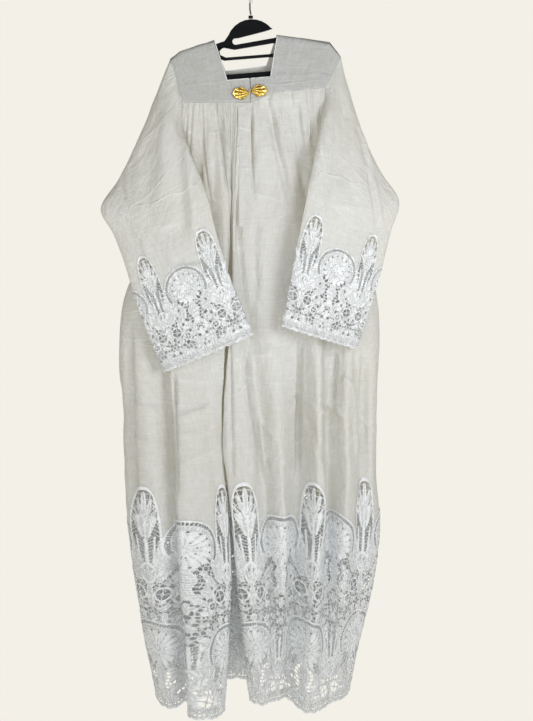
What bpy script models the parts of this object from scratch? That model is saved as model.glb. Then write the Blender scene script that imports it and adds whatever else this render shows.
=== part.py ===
"""Alb robe: a gathered linen vestment with cutwork lace, hung on a clothes hanger.

Metres, +Z up. The front faces -Y and +X is on the right as seen from the front.
The origin is the inner top of the hanger's hook, where a rail would carry it.
"""
import math

import bmesh
import bpy
import numpy as np
from mathutils import Vector

# Cloth
LINEN_WALL = 0.0012          # woven linen, with its seam allowances
LACE_WALL = 0.0014           # padded cutwork lace
SEAM_GAP = 0.0012            # between the middles of two edges that are sewn together
YOKE_SEAM_GAP = 0.0016       # the same where one edge is gathered
LACE_SEAM_GAP = 0.0020       # the same along the steep arches of the lace
ARMHOLE_GAP = 0.0030         # the same round the armholes
LAYER_GAP = 0.0015           # air between a panel and a strip that lies on it

# Lace
REPEAT = 0.205               # one palmette to the next, round the hem
HEM_REPEATS = 6              # repeats on the front, and again on the back
HEM_LACE_HEIGHT = 0.575      # palmette tip to hem
CUFF_LACE_HEIGHT = 0.255     # palmette tip to cuff edge
CUFF_REPEAT = 0.140          # one palmette to the next, round a cuff
CUFF_START = 2               # column of the repeat that lies on the inner fold
CUFF_FRONT_COLUMNS = 13      # columns of the lace on the front of a cuff
CUFF_COLUMNS = 24            # columns all round
CUFF_EDGE_GAP = 0.0012       # half the gap between the front and back lace at a fold
HEM_RISE = 0.028             # how much shorter the lace is at the side seams
SCALLOP = 0.004              # half the depth of the scalloped edge

# Body levels, as shares of the way from the yoke seam to the hem
LEVELS = (0.0, 0.13, 0.30, 0.505, 0.738, 1.0)
HEM_Z = -1.655
UNDERARM_LEVEL = 0.115
ARMHOLE_HALF = 0.018         # half the front-to-back width of the armhole at the yoke seam
SHOULDER_ROUND = 0.0085      # how far the cloth stands off on each side of the shoulder fold
SHOULDER_TURN = 50.0         # how quickly it turns over the fold
YOKE_SPREAD = 0.0108         # further distance it stands off at the yoke seam
YOKE_FOOT = 1.18             # where the neck edge's line meets the yoke seam
GATHER_DEPTH = 0.0022        # half the depth of the small gathers at the yoke seam
GATHER_FADE = 0.035          # share of the body length over which they fade

# Hanger
HANGER_TOP_Z = -0.058
HANGER_ROLL = math.radians(4.9)
HANGER_HALF_THICKNESS = 0.0045
HOOK_RADIUS = 0.0225
HOOK_WIRE = 0.0018           # radius of the wire

# One row for each line that runs down the body: its name, its place along the
# cloth in lace repeats, its x at each level and its y at each level.
SIDE_SEAMS = {
    "left_seam": (0.0,
                  (-0.150, -0.168, -0.278, -0.288, -0.280, -0.226),
                  (0.000, 0.000, 0.012, 0.020, 0.030, 0.036)),
    "right_seam": (6.0,
                   (0.163, 0.180, 0.278, 0.286, 0.293, 0.232),
                   (0.000, 0.000, 0.012, 0.020, 0.030, 0.036)),
}
FRONT_FOLDS = {
    "left_edge": (0.25, (-0.140, -0.162, -0.288, -0.299, -0.289, -0.238),
                  (-0.016, -0.018, -0.012, -0.012, -0.012, -0.010)),
    "left_crest": (0.62, (-0.124, -0.138, -0.240, -0.243, -0.234, -0.205),
                   (-0.020, -0.034, -0.055, -0.072, -0.082, -0.074)),
    "left_valley": (0.86, (-0.113, -0.122, -0.195, -0.187, -0.172, -0.165),
                    (-0.016, -0.032, -0.045, -0.054, -0.060, -0.040)),
    "left_panel": (1.12, (-0.101, -0.105, -0.155, -0.145, -0.138, -0.128),
                   (-0.020, -0.046, -0.074, -0.098, -0.114, -0.126)),
    "left_panel_turn": (1.35, (-0.090, -0.090, -0.120, -0.112, -0.104, -0.102),
                        (-0.017, -0.047, -0.076, -0.099, -0.113, -0.120)),
    "deep_left_lip": (1.58, (-0.080, -0.075, -0.087, -0.088, -0.080, -0.082),
                      (-0.020, -0.048, -0.072, -0.090, -0.104, -0.092)),
    "deep_left_wall": (1.95, (-0.068, -0.067, -0.082, -0.088, -0.092, -0.098),
                       (-0.018, -0.040, -0.050, -0.050, -0.046, -0.024)),
    "deep_left_toe": (2.30, (-0.058, -0.061, -0.080, -0.090, -0.102, -0.104),
                      (-0.017, -0.030, -0.028, -0.008, 0.012, 0.034)),
    "deep_bottom": (2.56, (-0.050, -0.055, -0.067, -0.068, -0.062, -0.050),
                    (-0.017, -0.026, -0.018, 0.008, 0.036, 0.060)),
    "deep_right_toe": (2.82, (-0.043, -0.049, -0.053, -0.044, -0.024, 0.002),
                       (-0.017, -0.030, -0.028, -0.008, 0.014, 0.036)),
    "deep_right_wall": (3.08, (-0.036, -0.045, -0.048, -0.040, -0.020, 0.006),
                        (-0.018, -0.040, -0.050, -0.050, -0.046, -0.018)),
    "deep_right_lip": (3.35, (-0.028, -0.040, -0.052, -0.050, -0.030, -0.004),
                       (-0.020, -0.049, -0.074, -0.096, -0.110, -0.056)),
    "centre_crest": (3.56, (-0.020, -0.032, -0.042, -0.024, -0.006, 0.014),
                     (-0.020, -0.051, -0.078, -0.104, -0.121, -0.078)),
    "centre_valley": (3.80, (-0.010, -0.018, -0.018, 0.014, 0.032, 0.038),
                      (-0.020, -0.050, -0.072, -0.094, -0.100, -0.062)),
    "centre_panel": (4.04, (0.004, 0.014, 0.034, 0.058, 0.066, 0.058),
                     (-0.020, -0.051, -0.078, -0.106, -0.120, -0.058)),
    "right_valley": (4.28, (0.026, 0.056, 0.100, 0.106, 0.096, 0.080),
                     (-0.017, -0.042, -0.050, -0.064, -0.078, -0.050)),
    "right_panel": (4.55, (0.052, 0.086, 0.134, 0.143, 0.141, 0.118),
                    (-0.020, -0.048, -0.074, -0.104, -0.121, -0.118)),
    "right_tuck": (4.86, (0.080, 0.112, 0.164, 0.174, 0.174, 0.160),
                   (-0.016, -0.036, -0.050, -0.062, -0.076, -0.106)),
    "outer_crest": (5.18, (0.110, 0.134, 0.205, 0.214, 0.214, 0.196),
                    (-0.020, -0.038, -0.062, -0.088, -0.104, -0.072)),
    "outer_valley": (5.43, (0.130, 0.152, 0.240, 0.250, 0.250, 0.220),
                     (-0.016, -0.030, -0.048, -0.060, -0.072, -0.058)),
    "right_crest": (5.64, (0.145, 0.165, 0.268, 0.280, 0.285, 0.236),
                    (-0.018, -0.024, -0.034, -0.040, -0.046, -0.036)),
    "right_edge": (5.81, (0.155, 0.174, 0.287, 0.296, 0.302, 0.243),
                   (-0.016, -0.014, -0.010, -0.010, -0.010, -0.004)),
}
BACK_FOLDS = {
    "left_turn": (0.25, (-0.140, -0.162, -0.280, -0.292, -0.285, -0.234),
                  (0.016, 0.018, 0.046, 0.062, 0.076, 0.084)),
    "left_crest": (0.56, (-0.126, -0.140, -0.238, -0.248, -0.240, -0.202),
                   (0.020, 0.036, 0.072, 0.094, 0.110, 0.118)),
    "left_valley": (0.95, (-0.108, -0.118, -0.186, -0.196, -0.190, -0.166),
                    (0.016, 0.030, 0.044, 0.052, 0.054, 0.054)),
    "left_panel": (1.38, (-0.086, -0.094, -0.142, -0.150, -0.146, -0.124),
                   (0.020, 0.044, 0.082, 0.108, 0.124, 0.130)),
    "inner_valley": (1.85, (-0.060, -0.066, -0.100, -0.106, -0.106, -0.094),
                     (0.016, 0.036, 0.064, 0.074, 0.080, 0.088)),
    "centre_left": (2.33, (-0.034, -0.038, -0.056, -0.056, -0.054, -0.046),
                    (0.020, 0.046, 0.088, 0.114, 0.130, 0.136)),
    "centre_valley": (2.84, (-0.006, -0.006, -0.008, -0.004, 0.002, 0.008),
                      (0.016, 0.036, 0.056, 0.062, 0.062, 0.062)),
    "centre_right": (3.36, (0.022, 0.024, 0.038, 0.046, 0.052, 0.050),
                     (0.020, 0.046, 0.088, 0.114, 0.130, 0.136)),
    "outer_valley": (3.88, (0.050, 0.054, 0.084, 0.096, 0.100, 0.092),
                     (0.016, 0.036, 0.054, 0.060, 0.060, 0.060)),
    "right_panel": (4.42, (0.080, 0.084, 0.130, 0.142, 0.146, 0.132),
                    (0.020, 0.044, 0.082, 0.108, 0.124, 0.130)),
    "right_valley": (4.94, (0.108, 0.114, 0.176, 0.188, 0.190, 0.168),
                     (0.016, 0.030, 0.044, 0.052, 0.054, 0.054)),
    "right_crest": (5.42, (0.134, 0.142, 0.228, 0.240, 0.244, 0.206),
                    (0.020, 0.036, 0.072, 0.094, 0.110, 0.118)),
    "right_turn": (5.76, (0.152, 0.174, 0.276, 0.290, 0.297, 0.238),
                   (0.016, 0.018, 0.046, 0.062, 0.076, 0.084)),
}

# The yoke's seam with the gathered body: x and z
FRONT_SEAM = ((-0.150, -0.2390), (-0.003, -0.2385), (0.012, -0.2340), (0.030, -0.2250),
              (0.050, -0.2165), (0.163, -0.2050))
BACK_SEAM = ((-0.150, -0.232), (0.163, -0.205))
# The yoke's other corners: x and z
SHOULDER_TIPS = ((-0.178, -0.146), (0.201, -0.137))
SHOULDER_BENDS = ((-0.1565, -0.1280), (0.1750, -0.1062))
NECK_SHOULDERS = ((-0.0810, -0.1038), (0.0582, -0.0910))
FRONT_NECK = ((-0.0535, -0.1900), (0.0425, -0.1815))
BACK_NECK = ((-0.0560, -0.1680), (0.0360, -0.1560))
SLIT_X = -0.003
PLACKET_WIDTH = 0.028
PLACKET_BOTTOM_Z = -0.505

# One row for each sleeve section: outer edge x, y, z, inner edge x, y, z, half depth
RIGHT_SLEEVE = (
    (-0.199, -0.006, -0.192, -0.148, -0.042, -0.322, 0.014),
    (-0.222, -0.012, -0.248, -0.134, -0.066, -0.352, 0.018),
    (-0.256, -0.022, -0.330, -0.117, -0.088, -0.398, 0.020),
    (-0.292, -0.032, -0.400, -0.100, -0.106, -0.450, 0.020),
    (-0.335, -0.045, -0.466, -0.086, -0.116, -0.512, 0.020),
    (-0.309, -0.062, -0.520, -0.070, -0.122, -0.570, 0.020),
    (-0.290, -0.075, -0.575, -0.056, -0.126, -0.615, 0.019),
    (-0.270, -0.085, -0.640, -0.040, -0.128, -0.655, 0.018),
    (-0.250, -0.092, -0.700, -0.024, -0.130, -0.695, 0.017),
    (-0.205, -0.096, -0.825, -0.006, -0.132, -0.735, 0.016),
)
LEFT_SLEEVE = (
    (0.214, -0.006, -0.190, 0.155, -0.040, -0.268, 0.014),
    (0.230, -0.012, -0.245, 0.144, -0.064, -0.315, 0.018),
    (0.256, -0.022, -0.320, 0.130, -0.088, -0.370, 0.020),
    (0.290, -0.032, -0.390, 0.114, -0.108, -0.438, 0.020),
    (0.330, -0.045, -0.452, 0.100, -0.118, -0.505, 0.020),
    (0.311, -0.062, -0.515, 0.088, -0.122, -0.560, 0.020),
    (0.298, -0.075, -0.560, 0.080, -0.126, -0.605, 0.019),
    (0.281, -0.085, -0.620, 0.072, -0.128, -0.650, 0.018),
    (0.262, -0.092, -0.680, 0.065, -0.130, -0.685, 0.017),
    (0.230, -0.096, -0.778, 0.057, -0.132, -0.718, 0.016),
)

# One repeat of the lace's upper edge: place along the repeat, share of the full height
HEM_LACE_EDGE = ((0.0, 0.862), (0.18, 0.842), (0.335, 0.775), (0.385, 0.915),
                 (0.5, 1.0), (0.615, 0.915), (0.665, 0.775), (0.82, 0.842))
CUFF_LACE_EDGE = ((0.0, 0.80), (0.17, 0.77), (0.315, 0.68), (0.375, 0.88),
                  (0.5, 1.0), (0.625, 0.88), (0.685, 0.68), (0.83, 0.77))
# Cells of one repeat that are cut through: column and row from the top
HEM_HOLES = ((2, 1), (5, 1), (3, 2), (4, 2), (0, 1), (7, 1), (2, 2), (5, 2), (0, 3), (7, 3),
             (3, 3), (4, 3), (1, 4), (6, 4), (2, 4), (5, 4), (0, 5), (7, 5))
CUFF_HOLES = ((2, 1), (5, 1), (3, 1), (4, 1), (0, 1), (7, 1), (1, 2), (6, 2), (3, 3), (4, 3))
HEM_HOLE_SIZE = (0.50, 0.26)     # share of its cell
CUFF_HOLE_SIZE = (0.55, 0.26)

LINEN = (0.62, 0.63, 0.60)
LACE = (0.70, 0.72, 0.73)
GILT = (0.80, 0.58, 0.18)
BLACK = (0.012, 0.014, 0.016)
STEEL = (0.55, 0.56, 0.57)


def smooth(knots, values, at):
    """Run a smooth curve through values at knots, and read it at one or more places."""
    knots = np.asarray(knots, float)
    values = np.asarray(values, float)
    at = np.atleast_1d(np.asarray(at, float))
    slopes = np.gradient(values, knots, axis=0)
    i = np.clip(np.searchsorted(knots, at, side="right") - 1, 0, len(knots) - 2)
    span = knots[i + 1] - knots[i]
    t = (at - knots[i]) / span
    shape = (-1,) + (1,) * (values.ndim - 1)
    t = t.reshape(shape)
    span = span.reshape(shape)
    return ((2 * t**3 - 3 * t**2 + 1) * values[i] + (t**3 - 2 * t**2 + t) * span * slopes[i]
            + (3 * t**2 - 2 * t**3) * values[i + 1] + (t**3 - t**2) * span * slopes[i + 1])


def along(points, x):
    """Read z from a row of (x, z) corners."""
    return float(np.interp(x, [p[0] for p in points], [p[1] for p in points]))


def mix(a, b, t):
    return a + (b - a) * t


class Panel:
    """The middle surface of one side of the body, from its table of folds."""

    def __init__(self, folds, seam, facing):
        rows = [SIDE_SEAMS["left_seam"], *folds.values(), SIDE_SEAMS["right_seam"]]
        self.places = [row[0] for row in rows]
        self.x = np.array([row[1] for row in rows])
        self.y = np.array([row[2] for row in rows])
        self.seam = seam
        self.facing = facing

    def armhole_gap(self, level):
        """Half the gap between the front and back panels at the side."""
        opening = max(0.0, 1.0 - level / UNDERARM_LEVEL)
        return SEAM_GAP / 2 + ARMHOLE_HALF * opening**1.2

    def point(self, place, level):
        """Point at a place in repeats and a level from 0 at the seam to 1 at the hem."""
        x_line = smooth(LEVELS, self.x.T, level)[0]
        y_line = smooth(LEVELS, self.y.T, level)[0].copy()
        y_line[0] += self.facing * self.armhole_gap(level)
        y_line[-1] += self.facing * self.armhole_gap(level)
        x = float(smooth(self.places, x_line, place)[0])
        y = float(smooth(self.places, y_line, place)[0])
        top = along(self.seam, self.top_x(place)) - YOKE_SEAM_GAP / 2
        return Vector((x, y, mix(top, HEM_Z, level)))

    def top_x(self, place):
        return float(smooth(self.places, self.x[:, 0], place)[0])

    def place_of(self, x, level):
        """Place along the cloth that lies at x, near the centre of the panel."""
        places = np.linspace(3.1, 4.3, 60)
        xs = [self.point(place, level).x for place in places]
        return float(np.interp(x, xs, places))

    def edge(self, side, z):
        """Point at height z on the panel's own left (0) or right (1) edge."""
        place = self.places[-side]
        top = self.point(place, 0.0).z
        return self.point(place, (top - z) / (top - HEM_Z))


FRONT = Panel(FRONT_FOLDS, FRONT_SEAM, -1)
BACK = Panel(BACK_FOLDS, BACK_SEAM, 1)


def lace_columns(edge, repeats):
    """Places along the cloth of each column line, and the height share there."""
    columns = [(repeat + place, share) for repeat in range(repeats) for place, share in edge]
    return columns + [(float(repeats), edge[0][1])]


def seam_sides(edge, distance):
    """Offsets that move each corner of a seam line square to the line, by a distance."""
    offsets = []
    for k, corner in enumerate(edge):
        before = edge[max(0, k - 1)]
        after = edge[min(len(edge) - 1, k + 1)]
        runs = [(b[0] - a[0], b[1] - a[1]) for a, b in ((before, corner), (corner, after)) if a != b]
        normals = [Vector((-run[1], run[0])).normalized() for run in runs]
        middle = sum(normals, Vector((0.0, 0.0))).normalized()
        reach = min(2.6, 1.0 / max(0.1, middle.dot(normals[0])))
        offsets.append(middle * reach * distance)
    return offsets


HEM_COLUMNS = lace_columns(HEM_LACE_EDGE, HEM_REPEATS)


def hem_edge(column):
    """Place and height above the hem of the lace's upper edge at one column line."""
    place, share = HEM_COLUMNS[column]
    middle = HEM_REPEATS / 2
    return place, HEM_LACE_HEIGHT * share - HEM_RISE * ((place - middle) / middle) ** 2


HEM_SEAM = [(place * REPEAT, height) for place, height in map(hem_edge, range(len(HEM_COLUMNS)))]
HEM_SEAM_SIDES = seam_sides(HEM_SEAM, LACE_SEAM_GAP / 2)


def hem_edge_place(panel, column, side=0):
    """Place and level of the lace's upper edge, or of its linen (1) or lace (-1) side."""
    place, height = hem_edge(column)
    shift = HEM_SEAM_SIDES[column] * side
    if 0 < column < len(HEM_COLUMNS) - 1:
        place += shift.x / REPEAT
    top = panel.point(place, 0.0).z
    return place, (top - HEM_Z - height - shift.y) / (top - HEM_Z)


def collection(name):
    made = bpy.data.collections.new(name)
    bpy.context.scene.collection.children.link(made)
    return made


def material(name, colour, roughness, metallic=0.0):
    made = bpy.data.materials.new(name)
    made.use_nodes = True
    shader = made.node_tree.nodes["Principled BSDF"]
    shader.inputs["Base Color"].default_value = (*colour, 1.0)
    shader.inputs["Roughness"].default_value = roughness
    shader.inputs["Metallic"].default_value = metallic
    return made


def add_mesh(name, bm, finish, group):
    mesh = bpy.data.meshes.new(name)
    bm.to_mesh(mesh)
    bm.free()
    obj = bpy.data.objects.new(name, mesh)
    group.objects.link(obj)
    mesh.materials.append(finish)
    mesh.shade_smooth()
    mesh.set_sharp_from_angle(angle=math.radians(50))
    return obj


def cloth(name, columns, rows, place, wall, finish, group, keep=None, holes=(), hole_size=(0.5, 0.5)):
    """Make a cloth panel: a flat grid, cut and pierced, then bent to its form."""
    bm = bmesh.new()
    bmesh.ops.create_grid(bm, x_segments=columns, y_segments=rows, size=0.5)
    for vert in bm.verts:
        vert.co = Vector(((vert.co.x + 0.5) * columns, (0.5 - vert.co.y) * rows, 0.0))
    if keep:
        spare = [face for face in bm.faces if not keep(*face.calc_center_median().xy)]
        bmesh.ops.delete(bm, geom=spare, context="FACES")
    pierce(bm, set(holes), hole_size)
    for vert in bm.verts:
        vert.co = place(vert.co.x, vert.co.y)
    bm.normal_update()
    obj = add_mesh(name, bm, finish, group)
    shell = obj.modifiers.new("wall", "SOLIDIFY")
    shell.thickness = wall
    shell.offset = 0.0
    return obj


def pierce(bm, cells, size):
    """Cut a four-sided gap in the middle of each named cell of a flat grid."""
    chosen = []
    for face in bm.faces:
        centre = face.calc_center_median()
        if (int(centre.x), int(centre.y)) in cells:
            chosen.append(face)
    if not chosen:
        return
    bmesh.ops.inset_individual(bm, faces=chosen, thickness=0.2)
    for face in chosen:
        centre = face.calc_center_median()
        for vert in face.verts:
            vert.co.x = centre.x + math.copysign(size[0] / 2, vert.co.x - centre.x)
            vert.co.y = centre.y + math.copysign(size[1] / 2, vert.co.y - centre.y)
    bmesh.ops.delete(bm, geom=chosen, context="FACES_ONLY")


def between(values, position):
    """Read a list of values at a fractional index."""
    return float(np.interp(position, range(len(values)), values))


def skirt(name, panel, finish, group):
    """Gathered linen from the yoke seam to the lace."""
    shares = (0.0, 0.018, 0.05, 0.10, 0.17, 0.28, 0.43, 0.60, 0.80, 1.0)
    last = len(HEM_COLUMNS) - 1

    def place(i, j):
        column = round(i)
        seam_place, bottom = hem_edge_place(panel, column, 1)
        at_seam = round(j) == len(shares) - 1
        where = seam_place if at_seam else HEM_COLUMNS[column][0]
        level = shares[round(j)] * bottom
        point = panel.point(where, level)
        under_placket = panel is FRONT and 3.1 < where < 4.1
        if 0 < column < last and not under_placket:
            swing = 1.0 if column % 2 else -1.0
            point.y += swing * GATHER_DEPTH * math.exp(-level / GATHER_FADE)
        return point

    return cloth(name, last, len(shares) - 1, place, LINEN_WALL, finish, group)


def hem_lace(name, panel, finish, group):
    """Cutwork lace from its arched upper edge to the scalloped hem."""
    rows = 6
    last = len(HEM_COLUMNS) - 1

    def place(i, j):
        if round(j, 3) == 0:
            return panel.point(*hem_edge_place(panel, round(i), -1))
        column = int(min(i, last - 1e-6))
        left, right = (hem_edge_place(panel, column + k) for k in (0, 1))
        where = mix(left[0], right[0], i - column)
        level = mix(mix(left[1], right[1], i - column), 1.0, j / rows)
        point = panel.point(where, level)
        if round(j) == rows:
            point.z += SCALLOP if round(i) % 2 else -SCALLOP
        return point

    cells = [(8 * repeat + column, row) for repeat in range(HEM_REPEATS) for column, row in HEM_HOLES]
    return cloth(name, last, rows, place, LACE_WALL, finish, group, holes=cells,
                 hole_size=HEM_HOLE_SIZE)


def yoke_row(down, facing):
    """x and z of a yoke's armhole and neck edges at one share of the way down."""
    neck = FRONT_NECK if facing < 0 else BACK_NECK
    seam = FRONT_SEAM if facing < 0 else BACK_SEAM
    row = []
    for side in (0, 1):
        tip, shoulder, corner = SHOULDER_TIPS[side], NECK_SHOULDERS[side], neck[side]
        foot_x = mix(shoulder[0], corner[0], YOKE_FOOT)
        inner = (shoulder, corner, (foot_x, along(seam, foot_x) + YOKE_SEAM_GAP / 2))
        outer = (tip, (seam[-side][0], along(seam, seam[-side][0]) + YOKE_SEAM_GAP / 2))
        depths = (0, yoke_neck_share(facing), 1)
        edges = [tuple(mix(outer[0][k], outer[1][k], down) for k in (0, 1)),
                 tuple(np.interp(down, depths, [point[k] for point in inner]) for k in (0, 1))]
        row += edges if side == 0 else edges[::-1]
    return row


def yoke_point(across, down, facing):
    """Point on a yoke: across 0 and 3 are the armholes, 1 and 2 the neck edges."""
    seam = FRONT_SEAM if facing < 0 else BACK_SEAM
    depth = yoke_neck_share(facing)
    x, z = (between([point[k] for point in yoke_row(down, facing)], across) for k in (0, 1))
    if down > depth:
        foot_x, foot_z = (between([point[k] for point in yoke_row(1.0, facing)], across)
                          for k in (0, 1))
        drop = along(seam, foot_x) + YOKE_SEAM_GAP / 2 - foot_z
        z += drop * (down - depth) / (1 - depth)
    if across < 1 or across > 2:
        side = 0 if across < 1 else 1
        outward = 1 - across if side == 0 else across - 2
        tip, bend, shoulder = SHOULDER_TIPS[side], SHOULDER_BENDS[side], NECK_SHOULDERS[side]
        share = (bend[0] - shoulder[0]) / (tip[0] - shoulder[0])
        rise = bend[1] - mix(shoulder[1], tip[1], share)
        bump = min(outward / share, (1 - outward) / (1 - share))
        z += rise * bump * (1 - down) ** 1.5
    rounding = SHOULDER_ROUND * (1 - math.exp(-SHOULDER_TURN * down))
    return Vector((x, facing * (SEAM_GAP / 2 + rounding + YOKE_SPREAD * down), z))


def yoke_neck_share(facing):
    """How far down the yoke its square neck reaches."""
    return 0.62 if facing < 0 else 0.50


def yoke(name, start, end, facing, strap_columns, neck_columns, finish, group):
    """A yoke piece between two places across, with the square neck left out."""
    depth = yoke_neck_share(facing)
    downs = (0.0, 0.02, 0.06, 0.25, depth, mix(depth, 1, 0.5), 1.0)
    places = []
    for first, last, count in ((0, 1, strap_columns), (1, 2, neck_columns), (2, 3, strap_columns)):
        places += [mix(first, last, k / count) for k in range(count)]
    places = [p for p in places if start + 0.01 < p < end - 0.01]
    places = [start, *places, end]

    def place(i, j):
        return yoke_point(places[round(i)], downs[round(j)], facing)

    def keep(i, j):
        return not (1.0 < between(places, i) < 2.0 and j < 4)

    return cloth(name, len(places) - 1, len(downs) - 1, place, LINEN_WALL, finish, group, keep)


def yoke_edge(side, z, facing):
    """Point at height z on the yoke's armhole edge."""
    across = 3 * side
    top = yoke_point(across, 0.0, facing).z
    bottom = yoke_point(across, 1.0, facing).z
    return yoke_point(across, min(1.0, max(0.0, (top - z) / (top - bottom))), facing)


class Sleeve:
    """The middle surface of a sleeve, from its armhole to its cuff."""

    def __init__(self, side, sections, fold_z):
        self.side = side
        self.outward = -1.0 if side == 0 else 1.0
        self.sections = sections
        self.fold_z = fold_z

    def armhole(self, across, facing):
        """Point on the armhole, just outside the yoke and the body.

        The sleeve's inner fold starts at fold_z on the front edge, so its back
        layer takes the rest of the armhole, down to the underarm and up behind.
        """
        top = SHOULDER_TIPS[self.side][1]
        start = FRONT.point(FRONT.places[-self.side], 0.0).z
        underarm = mix(start, HEM_Z, UNDERARM_LEVEL)
        share = (across + 1) / 2
        z = mix(self.fold_z, top, share)
        if facing > 0:
            fallen = share * (self.fold_z - underarm + top - underarm)
            z = self.fold_z - fallen
            facing = -1 if z > underarm else 1
            z = max(z, 2 * underarm - z)
        panel = FRONT if facing < 0 else BACK
        start = panel.point(panel.places[-self.side], 0.0).z
        point = yoke_edge(self.side, z, facing) if z > start else panel.edge(self.side, z)
        point.x += self.outward * ARMHOLE_GAP
        return point

    def rings(self, across, facing):
        """Points at one place across, one for each section; across runs -1 to 1, inner to outer."""
        points = [self.armhole(across, facing)]
        for row in self.sections:
            outer, inner, depth = Vector(row[0:3]), Vector(row[3:6]), row[6]
            width = (outer - inner).normalized()
            normal = Vector((0, 1, 0))
            normal = (normal - width * normal.dot(width)).normalized()
            bulge = max(1e-9, 1 - across * across) ** 0.6 * depth
            points.append(mix(inner, outer, (across + 1) / 2) + normal * facing * bulge)
        return np.array(points)

    def point(self, across, station, facing):
        points = self.rings(across, facing)
        return Vector(smooth(range(len(points)), points, station)[0])

    def station_above_cuff(self, across, height, facing):
        """Station that lies a given length of cloth above the cuff edge."""
        points = self.rings(across, facing)
        stations = np.linspace(0, len(points) - 1, 121)
        line = smooth(range(len(points)), points, stations)
        steps = np.linalg.norm(np.diff(line, axis=0), axis=1)
        above = np.append(np.cumsum(steps[::-1])[::-1], 0.0)
        return float(np.interp(-height, -above, stations))


RIGHT = Sleeve(0, RIGHT_SLEEVE, -0.300)
LEFT = Sleeve(1, LEFT_SLEEVE, -0.235)


def cuff_edge(column):
    """Place in repeats and height of the lace's upper edge at one column line."""
    turn, place = divmod(column + CUFF_START, len(CUFF_LACE_EDGE))
    return turn + CUFF_LACE_EDGE[place][0], CUFF_LACE_HEIGHT * CUFF_LACE_EDGE[place][1]


def cuff_across(place):
    """Across and facing of a place round a sleeve: 13 columns in front, 11 behind."""
    start, fold, end = (cuff_edge(column)[0] for column in (0, CUFF_FRONT_COLUMNS, CUFF_COLUMNS))
    if place <= fold:
        return mix(-1, 1, (place - start) / (fold - start)), -1
    return mix(1, -1, (place - fold) / (end - fold)), 1


CUFF_SEAM = [cuff_edge(column) for column in range(-1, CUFF_COLUMNS + 2)]
CUFF_SEAM_SIDES = seam_sides([(place * CUFF_REPEAT, height) for place, height in CUFF_SEAM],
                             LACE_SEAM_GAP / 2)[1:-1]


def cuff_edge_place(column, side=0):
    """Across, facing and height of the upper edge, or of its linen (1) or lace (-1) side."""
    place, height = cuff_edge(column)
    shift = CUFF_SEAM_SIDES[column] * side
    if column % CUFF_COLUMNS and column != CUFF_FRONT_COLUMNS:
        place += shift.x / CUFF_REPEAT
    return *cuff_across(place), height + shift.y


def sleeve(name, shape, finish, group):
    """A closed linen tube from the armhole to the cuff lace."""
    shares = (0.0, 0.045, 0.10, 0.18, 0.28, 0.40, 0.52, 0.64, 0.76, 0.88, 1.0)
    rows = len(shares) - 1

    def place(i, j):
        column = round(i) % CUFF_COLUMNS
        across, facing, height = cuff_edge_place(column, 1)
        end = shape.station_above_cuff(across, height, facing)
        if round(j) < rows:
            across, facing = cuff_across(cuff_edge(column)[0])
        return shape.point(across, shares[round(j)] * end, facing)

    bm = bmesh.new()
    bmesh.ops.create_grid(bm, x_segments=CUFF_COLUMNS, y_segments=rows, size=0.5)
    for vert in bm.verts:
        vert.co = place((vert.co.x + 0.5) * CUFF_COLUMNS, (0.5 - vert.co.y) * rows)
    bmesh.ops.remove_doubles(bm, verts=bm.verts, dist=0.0001)
    bm.normal_update()
    obj = add_mesh(name, bm, finish, group)
    shell = obj.modifiers.new("wall", "SOLIDIFY")
    shell.thickness = LINEN_WALL
    shell.offset = 0.0
    return obj


def cuff_lace(name, shape, first, last, finish, group):
    """Front or back half of a cuff's lace."""
    rows = 4

    def line(column, part_down):
        across, facing, height = cuff_edge_place(column, -1 if part_down < 1e-3 else 0)
        if column in (first, last):
            facing = -1 if first == 0 else 1
        start = shape.station_above_cuff(across, height, facing)
        point = shape.point(across, mix(start, len(shape.sections), part_down), facing)
        if column in (first, last):
            point.y += facing * CUFF_EDGE_GAP
        return point

    def place(i, j):
        column = int(min(i, last - first - 1e-6))
        part = i - column
        point = line(first + column, j / rows).lerp(line(first + column + 1, j / rows), part)
        if round(j) == rows:
            point.z += SCALLOP / 2 * (1 if round(i) % 2 else -1)
        return point

    count = len(CUFF_LACE_EDGE)
    cells = [(column, row) for column in range(last - first) for cell, row in CUFF_HOLES
             if (first + column + CUFF_START) % count == cell]
    return cloth(name, last - first, rows, place, LACE_WALL, finish, group, holes=cells,
                 hole_size=CUFF_HOLE_SIZE)


def placket(finish, group):
    """The strip on the front slit, made from the body's own points, moved out."""
    columns, rows = 3, 6
    top = along(FRONT_SEAM, SLIT_X) - SEAM_GAP

    def place(i, j):
        x = SLIT_X - PLACKET_WIDTH + PLACKET_WIDTH * i / columns
        z = mix(top, PLACKET_BOTTOM_Z, j / rows)
        level = (top - z) / (top - HEM_Z)
        point = FRONT.point(FRONT.place_of(x, level), level)
        point.y -= LINEN_WALL + LAYER_GAP
        point.z = z
        return point

    return cloth("placket", columns, rows, place, LINEN_WALL, finish, group)


def clasp_half(name, centre, direction, finish, group):
    """One gilt shell of the clasp: a ribbed fan, flat behind."""
    length, height, rise, lobes = 0.0185, 0.0140, 0.0050, 7
    bm = bmesh.new()
    bmesh.ops.create_uvsphere(bm, u_segments=28, v_segments=6, radius=1.0)
    for vert in bm.verts:
        angle = math.atan2(vert.co.y, vert.co.x)
        fan = 0.90 + 0.10 * abs(math.cos(lobes * angle / 2))
        taper = 1.0 - 0.28 * max(0.0, -math.cos(angle)) ** 2
        x = direction * vert.co.x * length * fan
        z = vert.co.y * height * fan * taper
        y = -max(0.0, vert.co.z) * rise
        vert.co = Vector((x, y, z)) + centre
    if direction < 0:
        bmesh.ops.reverse_faces(bm, faces=bm.faces)
    return add_mesh(name, bm, finish, group)


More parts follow.
